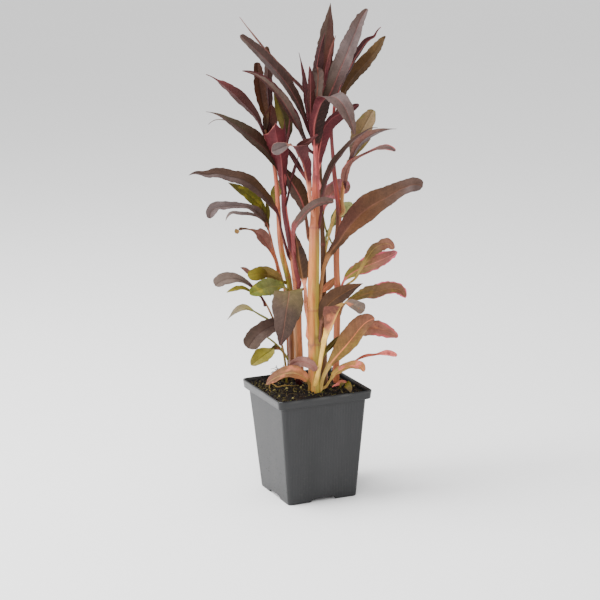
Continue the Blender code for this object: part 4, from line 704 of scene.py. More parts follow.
# small leaves and stalks between the large ones, whose routes start on a stem
sprigs = {
    "sprig_behind_cup": dict(
        route=[(-30, 326, 12), (-29.3, 338, 14.5), (-28, 348, 15), (-26.5, 359, 13.5)], facing=10, fold=12,
        curl=10, outline=[(0, 5), (0.35, 12), (0.6, 14), (0.82, 9.5), (1, 2)], top="maroonBrown",
        under="darkBrown brown", rib="ribPink"),
    "sprig_crown_right": dict(
        route=[(15, 352, 0), (19, 368, 3), (22, 390, 5), (27, 408, 7), (31.3, 419.5, 8)], facing=(120, 150),
        curl=10, width=6, point=1, top="brown", under="maroon brightMaroon brown", rib="ribPink",
        edge="rose"),
    "sprig_crown_toothed": dict(
        route=[(8, 332, -5), (6, 345, -8), (3, 375, -10), (1, 390, -11), (-1.5, 405, -11)],
        facing=(150, 130), fold=16, curl=10, width=7.5, widest=0.4, point=1.3, tooth=0.9,
        top="darkRed maroon", under="maroon darkRed maroon", rib="brightMaroon", edge="rose"),
    "sprig_branch_olive": dict(
        route=[(38, 294, 14.5), (42, 303, 17), (47, 314, 19), (55, 322, 22), (61, 327, 22)],
        facing=(20, 30), fold=10, width=4.5, stalk=0.2, widest=0.6, point=1, top="olive khaki",
        under="olive", rib="paleOlive", edge="olive"),
    "sprig_dark_stalk": dict(
        stalkTint="maroon", route=[(-16.5, 266, 6), (-14, 275, 5), (-11, 290, 3), (-8, 300, 1),
        (-3.5, 313, -2)], facing=150, fold=16, width=3.6, stalk=0.5, widest=0.4, point=1, top="darkRed",
        under="darkRed maroon", rib="maroon"),
    "sprig_maroon_band": dict(
        stalkTint="rose", route=[(9, 280, -6), (3, 291, 4), (-5, 305, 7), (-13, 318, 8), (-18, 326, 8)],
        facing=140, width=6, stalk=0.2, point=1, top="maroon", under="maroon darkRed"),
    "sprig_olive_left": dict(
        stalkTint="olive", route=[(-22.5, 258, 21), (-25, 268, 25), (-23.5, 280, 32), (-21, 292, 40)],
        facing=(-40, -20), fold=12, curl=10, width=11, stalk=0.15, top="darkOlive olive darkOlive",
        under="olive", rib="olive", edge="oliveBrown"),
    "sprig_olive_thin": dict(
        route=[(-33, 248, 25), (-31.8, 255, 28), (-32, 263, 31), (-33.5, 273, 35)], facing=20, fold=12,
        width=4.5, stalk=0.2, top="olive darkOlive", under="olive", rib="olive", edge="darkOlive"),
    "sprig_curled_grey": dict(
        route=[(-34, 252, 25), (-38, 256.5, 25), (-43, 259.5, 25.5), (-50, 261, 26), (-57, 261.5, 26),
        (-65, 262, 26), (-70, 255, 25)], facing=(60, 45, 30), fold=12, curl=10, width=5.5, stalk=0.15,
        top="mauveBrown greyPurple paleGrey", under="greyPurple", rib="mauveBrown", edge="warmGrey"),
    "sprig_low_olive": dict(
        stalkTint="olive", route=[(-38.5, 183, 20), (-44, 188, 23), (-50, 190.5, 25), (-57, 193, 25),
        (-64, 192, 25), (-71, 189, 25)], facing=(50, 30), fold=12, width=6, stalk=0.3,
        top="olive yellowOlive", under="olive", rib="olive", edge="oliveBrown"),
    "sprig_round_olive": dict(
        route=[(-15, 197, 26), (-25, 201, 20), (-34, 205, 12), (-40, 206, 8), (-46, 205.5, 6),
        (-51.5, 204, 5)], facing=(0, 10), fold=8, curl=6, outline=[(0, 1.8), (0.5, 1.8), (0.66, 9),
        (0.82, 13), (0.94, 9), (1, 3)], top="olive oliveBrown yellowOlive", under="olive", rib="oliveTan",
        edge="maroonBrown", slot="leaf_olive"),
    "sprig_round_tip": dict(
        route=[(-44, 203, 9), (-50, 207, 12), (-54, 210.5, 13), (-58, 212, 13)], facing=30, fold=8, curl=6,
        width=5, point=0.8, top="rosyBrown mauveBrown", under="rosyBrown", rib="rosyTan", edge="rosyBrown"),
    "sprig_folded_tip": dict(
        stalkHalf=1.3, stalkTint="rose", route=[(-7, 108, 20), (-13, 114, 6), (-13, 120.5, -10),
        (-7, 122.8, -24), (0, 122.5, -33), (5, 119.5, -37), (9.5, 114.5, -38)], facing=(60, 10, 0), fold=8,
        curl=-10, outline=[(0, 2), (0.35, 3), (0.6, 8), (0.8, 10), (0.93, 8), (1, 2.5)], top="rosyBrown",
        under="rosyBrown roseDark", edge="rose", slot="leaf_maroon"),
    "sprig_right_high": dict(
        stalkTint="straw", route=[(30.5, 189, 17), (37, 194, 15), (45, 199.5, 14), (51, 210, 13),
        (57, 219.5, 12), (63.5, 227.5, 11), (72, 231.5, 10), (77, 231, 9), (80, 226, 8)],
        facing=(40, 15, 5), fold=12, outline=[(0, 1.5), (0.3, 2.5), (0.5, 4), (0.62, 7), (0.74, 10.5),
        (0.86, 11), (0.95, 8), (1, 3)], top="straw strawGreen oliveTan khakiBrown pinkBrown",
        under="oliveTan pink", rib="straw", edge="pink"),
    "sprig_low_right": dict(
        stalkTint="paleOlive", route=[(11, 119, -24), (17, 130, -18), (24, 139, -10), (31, 147, -8)],
        facing=-30, fold=12, width=6, stalk=0.2, widest=0.6, top="olive oliveBrown", under="olive",
        rib="paleOlive", edge="darkOlive"),
    "sprig_curl_far_left": dict(
        stalkTint="greyBrown", route=[(-29, 322, 12.5), (-42, 331, 17), (-56, 340, 19), (-68, 346, 20),
        (-78, 346, 20), (-83, 342.5, 20)], facing=70, fold=12, width=2.4, stalk=0.3,
        top="greyBrown paleGrey", under="greyBrown", rib="greyBrown", edge="greyBrown"),
    "sprig_red_low": dict(
        route=[(-4, 99, -6), (-6, 103, -10), (-5, 107, -16), (-1, 108, -20)], facing=0, fold=8, width=8,
        point=0.7, top="maroon darkRed", under="darkRed", rib="brightMaroon", edge="darkRed"),
    "sprig_orange_behind": dict(
        route=[(13, 186, -10), (18, 191, -8), (23, 196, -6), (27, 202, -5)], facing=30, fold=10, width=8,
        point=0.8, top="salmonTan tanBrown", under="salmon", rib="peach", edge="salmon"),
    "sprig_cross_green": dict(
        route=[(17, 262, 3), (18.5, 251, 10), (22, 240, 15), (27.5, 228, 17)], facing=40, fold=10, curl=6,
        width=2.6, stalk=0.3, point=0.8, top="olive yellowOlive", under="olive", rib="paleOlive",
        edge="olive"),
    "sprig_cross_pale": dict(
        stalkHalf=1.6, stalkTint="straw", route=[(18, 222, 0), (22, 238, 7), (25, 250, 12), (29, 264, 16)],
        facing=150, fold=10, curl=6, width=4, stalk=0.3, point=0.8, top="oliveTan olive",
        under="oliveTan straw", rib="straw", edge="salmonTan"),
    "sprig_withered": dict(
        route=[(31, 97.5, -14), (33, 102.5, -16), (37, 100, -18), (40, 93, -20)], facing=(60, -30), curl=20,
        width=8, point=0.7, top="darkOlive yellowOlive khaki", under="olive khaki", rib="paleOlive",
        edge="brown"),
    "sprig_withered_left": dict(
        route=[(-20, 131, 39), (-25, 136, 36), (-31, 137, 33), (-33, 131, 30), (-38, 126, 28)],
        facing=(60, -40, 50), fold=16, curl=24, width=6, stalk=0.15, point=0.7, top="greyBrown khaki",
        under="brown khaki", rib="tan", edge="brown"),
    "sprig_pink_base": dict(
        route=[(24, 98.5, -2), (28, 101, -4), (33, 103, -6), (38, 102, -8)], facing=-20, fold=8, width=5,
        stalk=0.15, point=0.8, top="peachTan rosyTan", under="peach palePink", rib="palePink",
        edge="palePink", slot="leaf_coral"),
    "sprig_cup_spike": dict(
        route=[(-17, 318, 0), (-14, 324, -4), (-12.3, 333, -6), (-11, 343, -7.5), (-10, 353, -8)],
        facing=150, fold=16, width=2.8, stalk=0.05, widest=0.3, top="brightMaroon roseDark",
        under="brightMaroon brightMaroon roseDark", rib="roseDark", edge="roseDark"),
    "sprig_fold_inner": dict(
        route=[(13.8, 331.8, -16), (8, 327.3, -18), (1, 323.8, -21.5), (-5.5, 322, -26)], facing=20, fold=6,
        curl=6, outline=[(0, 0.8), (0.2, 2.5), (0.5, 6.5), (0.8, 5), (1, 1)],
        top="mauveDark darkMaroon maroon", rib="roseDark", edge="rose"),
}


def stemCentre(spec, height):
    # the stem's axis and radius where it shows at a height on the upright plane
    marks = np.array(spec["route"], float)
    x, y = (np.interp(height, marks[:, 1], marks[:, k]) for k in (0, 2))
    share = (height - marks[0, 1]) / (marks[-1, 1] - marks[0, 1])
    return sighted([(x, height, y)])[0], np.interp(share, (0, 0.5, 1), spec["radii"])


def seatPoint(spec, height, side, clearance):
    # the point beside a stem at a height and bearing, that far off its surface, and inside it
    centre, radius = stemCentre(spec, height)
    out = np.array([math.cos(math.radians(side)), math.sin(math.radians(side)), 0])
    return centre + (radius + clearance) * out, centre + radius * 0.35 * out


def soilHeight(x, y):
    # the soil's top in the pot's frame: a slope to the back with a round mound on it
    away = np.hypot(x - soil["moundX"], y - soil["moundY"]) / soil["moundSpread"]
    rise = soil["backRise"] * y / pot["rimSide"]
    return soil["level"] + rise + soil["mound"] * np.exp(-(away**2) / 2)


def addPlantPiece(name, rings, material, attributes):
    # a closed surface through rings in the eye's frame
    rings = turned(rings)
    return addPiece(name, rings, closedFaces(rings), material, attributes)


# stems
stemLook = dict(
    around=48, step=1.1, foot=5.0, sink=2.5, clearance=0.35, tipRows=1.2, ridge=0.05, swell=0.10,
    swellSpan=2.2, twist=0.004, lump=0.12, lumpSize=9.0, wander=7, wanderSize=3.0, streakSize=1.2,
    streakShade=0.20, stray=0.35, sides=(0.25, 0.65), scar="rose", scarSpan=1.1, scarShare=0.5,
    streakScar=0.3,
)


def makeStem(name, spec):
    # a tube along the route: radius = taper * (1 + ridge cos(n turn) + swellings at the nodes)
    marks = sighted(spec["route"])
    if "foot" in spec:
        parent, height, side = spec["foot"]
        foot, inside = seatPoint(stems[parent], height, side, spec["radii"][0] + stemLook["clearance"])
        marks = np.concatenate([[inside - (0, 0, stemLook["sink"])], [foot], marks])
    else:
        x, y, _ = turned(marks[:1])[0]
        marks[0, 2] = soilHeight(x, y)
        marks = np.concatenate([marks[:1] - (0, 0, stemLook["foot"]), marks])
    rows = int(runLength(marks) / stemLook["step"])
    shares = np.linspace(0, 1, rows)
    places = smoothRun(marks, shares)
    ahead = unit(np.gradient(places, axis=0))
    side = unit(np.cross(ahead, unit(eyePlace - places)))
    front = np.cross(side, ahead)
    zs = places[:, 2]
    turn = np.arange(stemLook["around"]) * math.tau / stemLook["around"]
    swell = sum(stemLook["swell"] * bell(zs - z, stemLook["swellSpan"]) for z in spec["nodes"])
    swell = swell + np.zeros(rows)
    twist = zs[:, None] * stemLook["twist"]
    seed = len(name) + int(spec["radii"][0] * 10)
    ridge = stemLook["ridge"] * (np.cos(spec["ridges"] * (turn + twist))
                                 + 0.5 * np.cos((spec["ridges"] + 4) * (turn - twist) + seed))
    last = stemLook["tipRows"]
    end = np.sqrt(held(1 - held((shares - 1 + last / rows) * rows / last) ** 2, 0.02))
    taper = np.interp(shares, (0, 0.5, 1), spec["radii"])
    radius = taper[:, None] * (1 + swell[:, None] + ridge) * end[:, None]
    rings = places[:, None] + radius[..., None] * (
        np.cos(turn)[None, :, None] * side[:, None] + np.sin(turn)[None, :, None] * front[:, None])
    lumps = layered(rings, stemLook["lumpSize"], seed, 2)[..., None] * stemLook["lump"]
    rings = rings + unit(rings - places[:, None]) * lumps

    # colours: stops up the stem on three sides as the eye sees it, with streaks, and a scar round each
    # node; the stops on the sides hold painted highlight and painted shade besides the stem's own colours
    heights, names = zip(*spec["tints"])
    lefts, middles, rights = zip(*(n.split() for n in names))
    low, high = heights[0], heights[-1]
    wander = lattice(rings * (1, 1, 0.25), stemLook["wanderSize"], seed + 3) * stemLook["wander"]
    at = held((zs[:, None] + wander - low) / (high - low))
    stops = [(h - low) / (high - low) for h in heights]
    streaks = lattice(rings * (1, 1, 0.05), stemLook["streakSize"], seed + 5) * spec["streak"]
    lean = np.cos(turn + twist) + stemLook["stray"] * streaks
    begin, span = stemLook["sides"]
    tint = blend(middles, at, stops)
    # the right and left tints, by how far a point turns to the eye's right and left: partly the stem's own
    # colour, partly a painted highlight stripe and painted shade
    for names, share in ((rights, lean), (lefts, -lean)):
        tint = mixed(tint, blend(names, at, stops), held((share - begin) / span)[..., None])
    tint = tint * (1 + stemLook["streakShade"] * streaks[..., None])
    scar = sum(bell(zs - z, stemLook["scarSpan"]) for z in spec["nodes"]) + np.zeros(rows)
    share = held(scar[:, None, None] * stemLook["scarShare"]
                 + held(streaks - 0.5)[..., None] * stemLook["streakScar"])
    tint = mixed(tint, linear(stemLook["scar"]), share)
    return addPlantPiece(name, rings, stemSkin, dict(tint=tint.reshape(-1, 3)))


# leaves: what their specs leave out, and what all of them share, in millimetres, degrees or shares
leafUsual = dict(
    fold=14, curl=8, stalk=0.1, widest=0.5, point=0.9, stalkHalf=1.15, stalkRun=0.75, tooth=0.55,
    under="maroon", rib="rose", edge="maroon", ribTip=1,
)
leafLook = dict(
    along=1.15, fewestRows=14, mostRows=84, tipBunch=1.12, across=28, acrossThin=14, bunch=0.115,
    clearance=0.6, sinkRows=5, sink=5.0, bow=4.0, tipRound=0.7, thick=0.17, edgeThick=0.07,
    toothSizes=(2.3, 5.5), wave=0.35, waveSize=9.0, uneven=0.09, unevenSize=15.0, buckle=0.35,
    buckleSize=14.0, veinStep=4.2, veinSlant=0.75, veinHeight=0.11, veinWidth=0.16, veinWander=0.30,
    veinSize=16.0, pillow=0.12, crease=0.22, creaseWidth=0.55, drift=0.18, driftSize=12.0, streak=0.15,
    streakSize=1.5, grain=0.22, grainSize=1.4, spotSizes=(7.0, 3.0), edgeWidth=0.35, edgeShare=0.8,
    broad=(1.2, 2.5), ribShares=((0.8, 0.2), (1.0, 0.3)), patchSoft=0.3, patchShare=0.85,
    marginStray=0.8, marginSoft=0.6, stalkShade=0.86, stalkShare=0.92,
)


def halfWidths(spec, shares):
    # half the blade's width at shares of its length: the outline given, or a stalk and then a lance,
    # width/2 * sin(rise) * cos(fall)^point
    if "outline" in spec:
        at, width = np.array(spec["outline"], float).T
        fine = smoothRun(np.stack([at * 10, width / 2], 1), np.linspace(0, 1, 400))
        return np.maximum(np.interp(shares * 10, fine[:, 0], fine[:, 1]), 0.3)
    along = held((shares - spec["stalk"]) / (1 - spec["stalk"]))
    rise = np.sin(held(along / spec["widest"]) * math.pi / 2)
    fall = np.cos(held((along - spec["widest"]) / (1 - spec["widest"])) * math.pi / 2)
    blade = spec["width"] / 2 * rise * np.maximum(fall, 0) ** spec["point"]
    return np.sqrt(np.maximum(blade, 1.1 * held(1.6 - shares * 2)) ** 2 + 0.2**2)


def stalkWidths(spec, shares):
    # half the stalk's width, which runs on into the midrib
    return spec["stalkHalf"] * held(1 - shares / spec["stalkRun"], 0.12)


def bladeSides(ahead, toEye, facing, shares):
    # directions across the blade: worked out from facing at even steps, and blended between
    facing = facing if isinstance(facing, tuple) else (facing, facing)
    stops = np.linspace(0, 1, len(facing))
    near = [int(np.argmin(abs(shares - s))) for s in stops]
    flatSide = unit(np.cross(ahead[near], toEye[near]))
    flatFront = np.cross(flatSide, ahead[near])
    turn = np.radians(facing)[:, None]
    aimed = np.cos(turn) * flatSide - np.sin(turn) * flatFront
    ease = shares * (len(facing) - 1)
    step = np.floor(ease)
    ease = step + (ease - step) ** 2 * (3 - 2 * (ease - step))
    across = np.stack([np.interp(ease / (len(facing) - 1), stops, aimed[:, k]) for k in range(3)], 1)
    return unit(across - (across * ahead).sum(1, keepdims=True) * ahead)


def leafSpine(spec):
    # the leaf's middle line, the directions at it and the half widths, with its foot in its stem
    marks = sighted(spec["route"])
    if "seat" in spec:
        stem, height, side = spec["seat"]
        foot, inside = seatPoint(stems[stem], height, side, leafLook["clearance"])
        marks = np.concatenate([[foot], marks])
    length = runLength(marks)
    rows = int(held(length / leafLook["along"], leafLook["fewestRows"], leafLook["mostRows"]))
    shares = 1 - (1 - np.linspace(0, 1, rows)) ** leafLook["tipBunch"]
    places = smoothRun(marks, shares)
    ahead = unit(np.gradient(places, axis=0))
    sides = bladeSides(ahead, unit(eyePlace - places), spec["facing"], shares)
    half = np.maximum(halfWidths(spec, shares), stalkWidths(spec, shares))
    if "seat" in spec:
        steps = np.linspace(1, 0, leafLook["sinkRows"] + 1)[:-1, None]
        sink = inside - (0, 0, leafLook["sink"] * max(ahead[0, 2], 0.2)) - places[0]
        bow = -ahead[0] * min(leafLook["bow"], length * 0.1)
        places = np.concatenate([places[0] + steps * sink + steps * (1 - steps) * bow, places])
        ahead = unit(np.gradient(places, axis=0))
        sides = np.concatenate([np.repeat(sides[:1], leafLook["sinkRows"], 0), sides])
        sides = unit(sides - (sides * ahead).sum(1, keepdims=True) * ahead)
        half = np.concatenate([half[0] * (1 + 0.15 * steps[:, 0]), half])
        shares = np.concatenate([-steps[:, 0] * 0.03, shares])
    along = shares * length
    if "crown" not in spec:
        last = half[-1] * leafLook["tipRound"] + 0.3
        half = half * np.sqrt(held(1 - held((along - (length - last)) / last) ** 2, 0.0015))
    return SimpleNamespace(places=places, ahead=ahead, sides=sides, above=np.cross(sides, ahead),
                           length=length, along=along[:, None], s=shares[:, None], h=half[:, None])


def leafGrid(leaf, spec):
    # adds the grid across the blade, its teeth and waves, and where its veins run: out and up are the
    # integrals of cos f and sin f over v, and reach is how far a point is from the midrib
    along, s, h, seed = leaf.along, leaf.s, leaf.h, leaf.seed
    count = leafLook["across"] if h.max() > 2 else leafLook["acrossThin"]
    v = np.linspace(-1, 1, count + 1)
    v = v - leafLook["bunch"] * np.sin(v * math.tau)
    angle = np.radians(spec["fold"] + spec["curl"] * np.abs(v) ** 2)
    dv, middle = np.diff(v), (angle[1:] + angle[:-1]) / 2
    out = np.concatenate([[0], np.cumsum(np.cos(middle) * dv)])
    up = np.concatenate([[0], np.cumsum(np.sin(middle) * dv * np.sign(v[1:] + v[:-1]))])
    leaf.v, leaf.out, leaf.up = v, out - out[count // 2], up - up[count // 2]
    low, span = leafLook["broad"]
    leaf.broad = held((h - low) / span)
    fine, coarse = leafLook["toothSizes"]
    ragged = np.stack([along + 0 * v, np.sign(v) * 40 + 0 * along, seed * 3.0 + 0 * along * v], -1)
    teeth = lattice(ragged, fine, seed) + 0.7 * lattice(ragged, coarse, seed + 15)
    leaf.tooth = teeth * leaf.broad * np.abs(v) ** 6 * spec["tooth"]
    lop = np.interp(s, *zip(*spec["lop"])) if "lop" in spec else 0 * s
    uneven = leafLook["uneven"] * lattice(ragged, leafLook["unevenSize"], seed + 16)
    leaf.wide = 1 + lop * np.sign(v) + uneven
    ripple = lattice(ragged, leafLook["waveSize"], seed + 1)
    leaf.wave = leafLook["wave"] * held(h / 5) * np.abs(v) ** 3 * ripple
    leaf.rib = np.minimum(stalkWidths(spec, held(s)) * 0.62 + 0.08, h)
    leaf.reach = np.abs(v) * h * leaf.wide
    slant = leafLook["veinSlant"] * (0.8 + 0.06 * (seed % 7))
    slant = (along - leaf.reach * slant) / leafLook["veinStep"] + 0.23 * np.sign(v)
    leaf.slant = slant + leafLook["veinWander"] * lattice(ragged, leafLook["veinSize"], seed + 2)
    leaf.cycle = np.abs((leaf.slant % 1) - 0.5) * 2
    leaf.vein = bell(1 - leaf.cycle, leafLook["veinWidth"]) * leaf.broad * held(1.15 - np.abs(v))
    leaf.stalky = held((spec["stalkHalf"] + 1.5 - h) / 1.2) * held(1.5 - s * 1.6)
    leaf.lastTeeth = ragged[-1:]


def leafRings(leaf, spec):
    # the blade's two sides, thick at the midrib and thin at the margins, with relief at its veins
    v, h, s, seed, broad, wide = leaf.v, leaf.h, leaf.s, leaf.seed, leaf.broad, leaf.wide
    shape = layered(np.stack([leaf.along + 0 * v, v * h, 0 * v * h + seed], -1), leafLook["buckleSize"],
                    seed + 4, 2)
    lift = (shape * leafLook["buckle"] * broad * np.abs(v) + leaf.wave * 1.6
            - leaf.vein * leafLook["veinHeight"])
    thick = leafLook["edgeThick"] + (leafLook["thick"] - leafLook["edgeThick"]) * (1 - v**4)
    rounded = np.sqrt(held(1 - (leaf.reach / np.maximum(leaf.rib * 1.7, 0.1)) ** 2))
    bulge = leaf.stalky * h * np.sqrt(1 - held(v**2, 0, 0.99))
    below = thick + np.maximum(leaf.rib * rounded * 0.9, bulge * 0.85)
    onTop = thick + bulge * 0.45 - leafLook["crease"] * bell(leaf.reach, leafLook["creaseWidth"]) * broad
    onTop = onTop + (leaf.cycle**2 - 0.4) * broad * held(1.05 - v**2) * leafLook["pillow"]
    leaf.flat = (leaf.places[:, None]
                 + leaf.sides[:, None] * (h * wide * leaf.out + np.sign(v) * leaf.tooth)[..., None]
                 + leaf.above[:, None] * (h * wide * leaf.up + lift)[..., None])
    if "crown" in spec:
        rise = np.interp(v, *zip(*spec["crown"])) + 0.6 * lattice(leaf.lastTeeth, 2.0, seed + 17)[0]
        leaf.flat = leaf.flat + leaf.ahead[:, None] * (rise * held(s * 2.5 - 1.5) ** 1.5)[..., None]
    top = leaf.flat + leaf.above[:, None] * onTop[..., None]
    under = leaf.flat - leaf.above[:, None] * below[..., None]
    return np.concatenate([top, under[:, ::-1]], 1)


def leafTints(leaf, spec):
    # colours: stops along the leaf on each side, the midrib and the margin in their own, patches of a
    # second colour, and a ragged band of a third along the margin
    v, h, s, flat, seed = leaf.v, leaf.h, leaf.s, leaf.flat, leaf.seed
    drift = layered(flat, leafLook["driftSize"], seed + 6, 2)[..., None]
    at = held(s + 0.10 * drift[..., 0] * (s > 0))
    tints = [blend(spec["top"], at), blend(spec["under"], at)]
    # one half of the blade in the right and left tints: the leaf's own colour, painted shade in the darker
    # stops where that half lies in shadow, and painted sheen in the greys
    for key, side in (("right", 1), ("left", -1)):
        if key in spec:
            share = held(v * side * 8 + 0.3)[:, None]
            tints = [mixed(tint, blend(spec[key], at), share) for tint in tints]
    foot = linear(spec.get("stalkTint", spec["rib"]))
    ribTint = mixed(foot, linear(spec["rib"]), held(s * 2.5 - 0.3)[..., None])
    ribFade = (1 - 0.55 * held(s)) * np.interp(s, (0.7, 0.8), (1, spec["ribTip"]))
    onRib = (bell(leaf.reach, leaf.rib * 0.8 + 0.12) * ribFade)[..., None]
    onVein = (leaf.vein * 0.35)[..., None]
    # the edge colour along the rim: the margin's own colour, and where it is a pale grey (greyPurple,
    # warmGrey, paleGrey, mauveLight) a painted highlight
    edge = leafLook["edgeWidth"]
    onEdge = held((np.abs(v) - 1 + edge / np.maximum(h, edge)) * 3)[..., None] * leafLook["edgeShare"]
    onEdge = onEdge * held(leaf.broad[..., None] * 2)
    onStalk = held(leaf.stalky * 1.6)[..., None]
    large, small = leafLook["spotSizes"]
    spots = lattice(flat, large, seed + 11) + 0.6 * lattice(flat, small, seed + 12)
    spots = spots - 0.10 * leaf.cycle * leaf.broad
    inward = (1 - np.abs(v)) * h * leaf.wide
    if "crown" in spec:
        inward = np.minimum(inward, leaf.length - leaf.along)
    streak = lattice(np.stack([leaf.along * 0.10 + 0 * v, leaf.reach * np.sign(v), 0 * leaf.reach], -1),
                     leafLook["streakSize"], seed + 14)[..., None]
    grain = lattice(flat * (1, 1, 0.2), leafLook["grainSize"], seed + 9)[..., None]
    painted = []
    for tint, (ribShare, veinShare) in zip(tints, leafLook["ribShares"]):
        c = tint * (1 + leafLook["drift"] * drift + leafLook["streak"] * streak)
        if "patch" in spec:
            colour, amount = spec["patch"]
            share = held((spots - 0.5 + amount) / leafLook["patchSoft"])[..., None]
            c = mixed(c, linear(colour), share * leafLook["patchShare"])
        if "margin" in spec:
            colour, width, start = spec["margin"]
            ragged = width * (1 + leafLook["marginStray"] * spots)
            share = held((ragged - inward) / leafLook["marginSoft"])
            begun = held((s - start + 0.15 * spots) / 0.12)
            c = mixed(c, linear(colour), (share * begun)[..., None])
        c = mixed(c, ribTint, held(onRib * ribShare + onVein * veinShare))
        c = mixed(c, linear(spec["edge"]), onEdge)
        stalk = foot * (leafLook["stalkShade"] + leafLook["grain"] * grain)
        painted.append(mixed(c, stalk, onStalk * leafLook["stalkShare"]))
    return np.concatenate([painted[0], painted[1][:, ::-1]], 1)


def makeLeaf(name, spec, slot):
    # A blade on a two-parameter grid, s along and v across: place(s) + h(s) * integral of
    # (cos f, sin f) dv with f = fold + curl v^2. The skin reads facts, which are the reach across, the
    # length along and the side, and phase, which counts the veins.
    spec = {**leafUsual, **spec}
    leaf = leafSpine(spec)
    leaf.seed = sum(map(ord, name)) % 97
    leafGrid(leaf, spec)
    rings = leafRings(leaf, spec)
    side = np.concatenate([0 * leaf.v, 0 * leaf.v + 1])
    across = leaf.reach * np.sign(leaf.v)
    across = np.concatenate([across, across[:, ::-1]], 1)
    facts = np.stack(np.broadcast_arrays(across / 40 + 0.5, leaf.along / 200, side[None] + 0 * leaf.h), -1)
    phase = np.concatenate([leaf.slant, leaf.slant[:, ::-1]], 1)
    return addPlantPiece(name, rings, leafSkin[slot],
                         dict(tint=leafTints(leaf, spec).reshape(-1, 3), facts=facts.reshape(-1, 3),
                              phase=phase.ravel()))


# the pot
# pale is the colour of the painted sheen on the walls and flutes; scuff is the colour of the scuffs and of
# the painted highlight along the lip
pot = dict(
    rimSide=91.8, baseSide=67.8, height=102.0, bodyTop=83.0, collar=8.2, collarFoot=90.2, wall=1.3,
    floorLift=3.0, footWidth=4.5, notch=25.0, drainRadius=4.5, drainOut=19.0, drainSides=40,
    drainSpan=(2.0, 5.5), warp=0.16, warpSize=45.0, ribs=(3.0, 9.5, 16.0, 22.5, 29.0), ribWidth=0.8,
    ribDepth=0.5, ribLength=25, sharp=50, fluteStep=2.7, fluteDepth=0.16, dark=(34, 35, 36),
    pale=(64, 64, 66), rim=(34, 34, 35), scuff=(112, 110, 106), roughness=0.36,
)
soil = dict(
    level=98.4, backRise=1.6, mound=6.4, moundX=-20.0, moundY=-24.0, moundSpread=19.0, edgeDrop=2.6,
    gap=0.3, bottom=4.8, lump=1.9, lumpSize=9.0, grain=0.45, grainSize=2.2, rings=84, crumbs=2400,
    crumbDark=(36, 28, 22), crumbWarm=(70, 54, 38), crumbPale=(166, 156, 104), crumbGreen=(104, 104, 44),
    fibres=360, fibreTones=((70, 52, 36), (112, 92, 56), (164, 152, 92), (50, 38, 30)),
    moss=300, mossTones=((44, 36, 26), (84, 78, 40), (150, 142, 88), (56, 44, 32)),
    crumbSize=(0.35, 1.5), fibreLength=(2.5, 11), mossHeight=(0.6, 3.2), tuftHeight=(3, 14),
    peat=((0.34, (26, 21, 17)), (0.54, (42, 33, 25)), (0.74, (78, 61, 42))), fleck=(150, 142, 92),
    tuftX=-10.6, tuftY=33.8, rootTint="oliveTan", rootRadius=0.62, rootArch=2.2,
    root=[(-37.5, -6.6), (-34.7, 5.0), (-29.2, 13.4), (-28.7, 7.5), (-29.2, 0.3), (-25.8, -3.2),
          (-21.6, -7.2), (-16.7, -9.7), (-12.8, -9.8)],
)


def squareRing(half, radius, perSide=24, perCorner=10):
    # points round a square with rounded corners: arcs of that radius joined by straight sides
    turn = np.radians(np.linspace(-45, 45, perCorner + 1)) + math.pi / 4
    arc = np.stack([np.cos(turn), np.sin(turn)], 1) * radius + half - radius
    start, end = arc[-1], np.array([-arc[-1][0], arc[-1][1]])
    t = np.linspace(0, 1, perSide + 1)[1:-1, None]
    quarter = np.concatenate([arc, start + (end - start) * t])
    parts = []
    for k in range(4):
        c, s = math.cos(k * math.pi / 2), math.sin(k * math.pi / 2)
        parts.append(quarter @ np.array([[c, s], [-s, c]]))
    return np.concatenate(parts)


def potLine():
    # the wall's closed profile from the floor's edge, under the foot, up and over the rim and down
    # inside: half the side, height and corner radius
    top, half, low = pot["height"], pot["rimSide"] / 2, pot["height"] - pot["collar"]
    base, body, collar = pot["baseSide"] / 2, pot["bodyTop"] / 2, pot["collarFoot"] / 2
    line = [
        (base - pot["footWidth"], pot["floorLift"], 2.2), (base - pot["footWidth"], 0.5, 2.2),
        (base - 4.0, 0.0, 2.4), (base - 0.9, 0.0, 3.2), (base - 0.25, 0.25, 3.5), (base, 0.9, 3.5),
    ]
    for z in np.concatenate([[3.0, 3.1], np.linspace(8, low - 4, 20), [low - 2, low - 0.9]]):
        line.append((base + (pot["bodyTop"] - pot["baseSide"]) / 2 * (z / low), z, 3.5 + 0.6 * (z / low)))
    return line + [
        (body + 0.25, low - 0.35, 4.1), (collar - 1.2, low, 4.2), (collar - 0.35, low + 0.15, 4.3),
        (collar, low + 0.7, 4.3), (half - 0.25, top - 2.2, 4.4), (half - 0.05, top - 1.0, 4.4),
        (half - 0.12, top - 0.45, 4.4), (half - 0.4, top - 0.1, 4.3), (half - 0.7, top, 4.2),
        (half - 1.0, top - 0.1, 4.0), (half - pot["wall"], top - 0.5, 3.8), (collar - 1.3, low + 1.6, 3.4),
        (body - 1.3, low - 0.2, 3.0), (base - 1.0, 4.4, 2.4),
    ]


def drainCutter():
    # four short cylinders that cut the drains
    sides = pot["drainSides"]
    turn = np.arange(sides) * math.tau / sides
    circle = np.stack([np.cos(turn), np.sin(turn)], 1) * pot["drainRadius"]
    points, faces = [], []
    for k, (x, y) in enumerate(((-1, -1), (-1, 1), (1, -1), (1, 1))):
        disc = circle + (x * pot["drainOut"], y * pot["drainOut"])
        rings = np.array([level(disc, z) for z in pot["drainSpan"]])
        points.append(rings.reshape(-1, 3))
        faces.append(closedFaces(rings, rings.reshape(-1, 3).mean(0)) + k * 2 * sides)
    return newObject("cutter", np.concatenate(points), np.concatenate(faces))


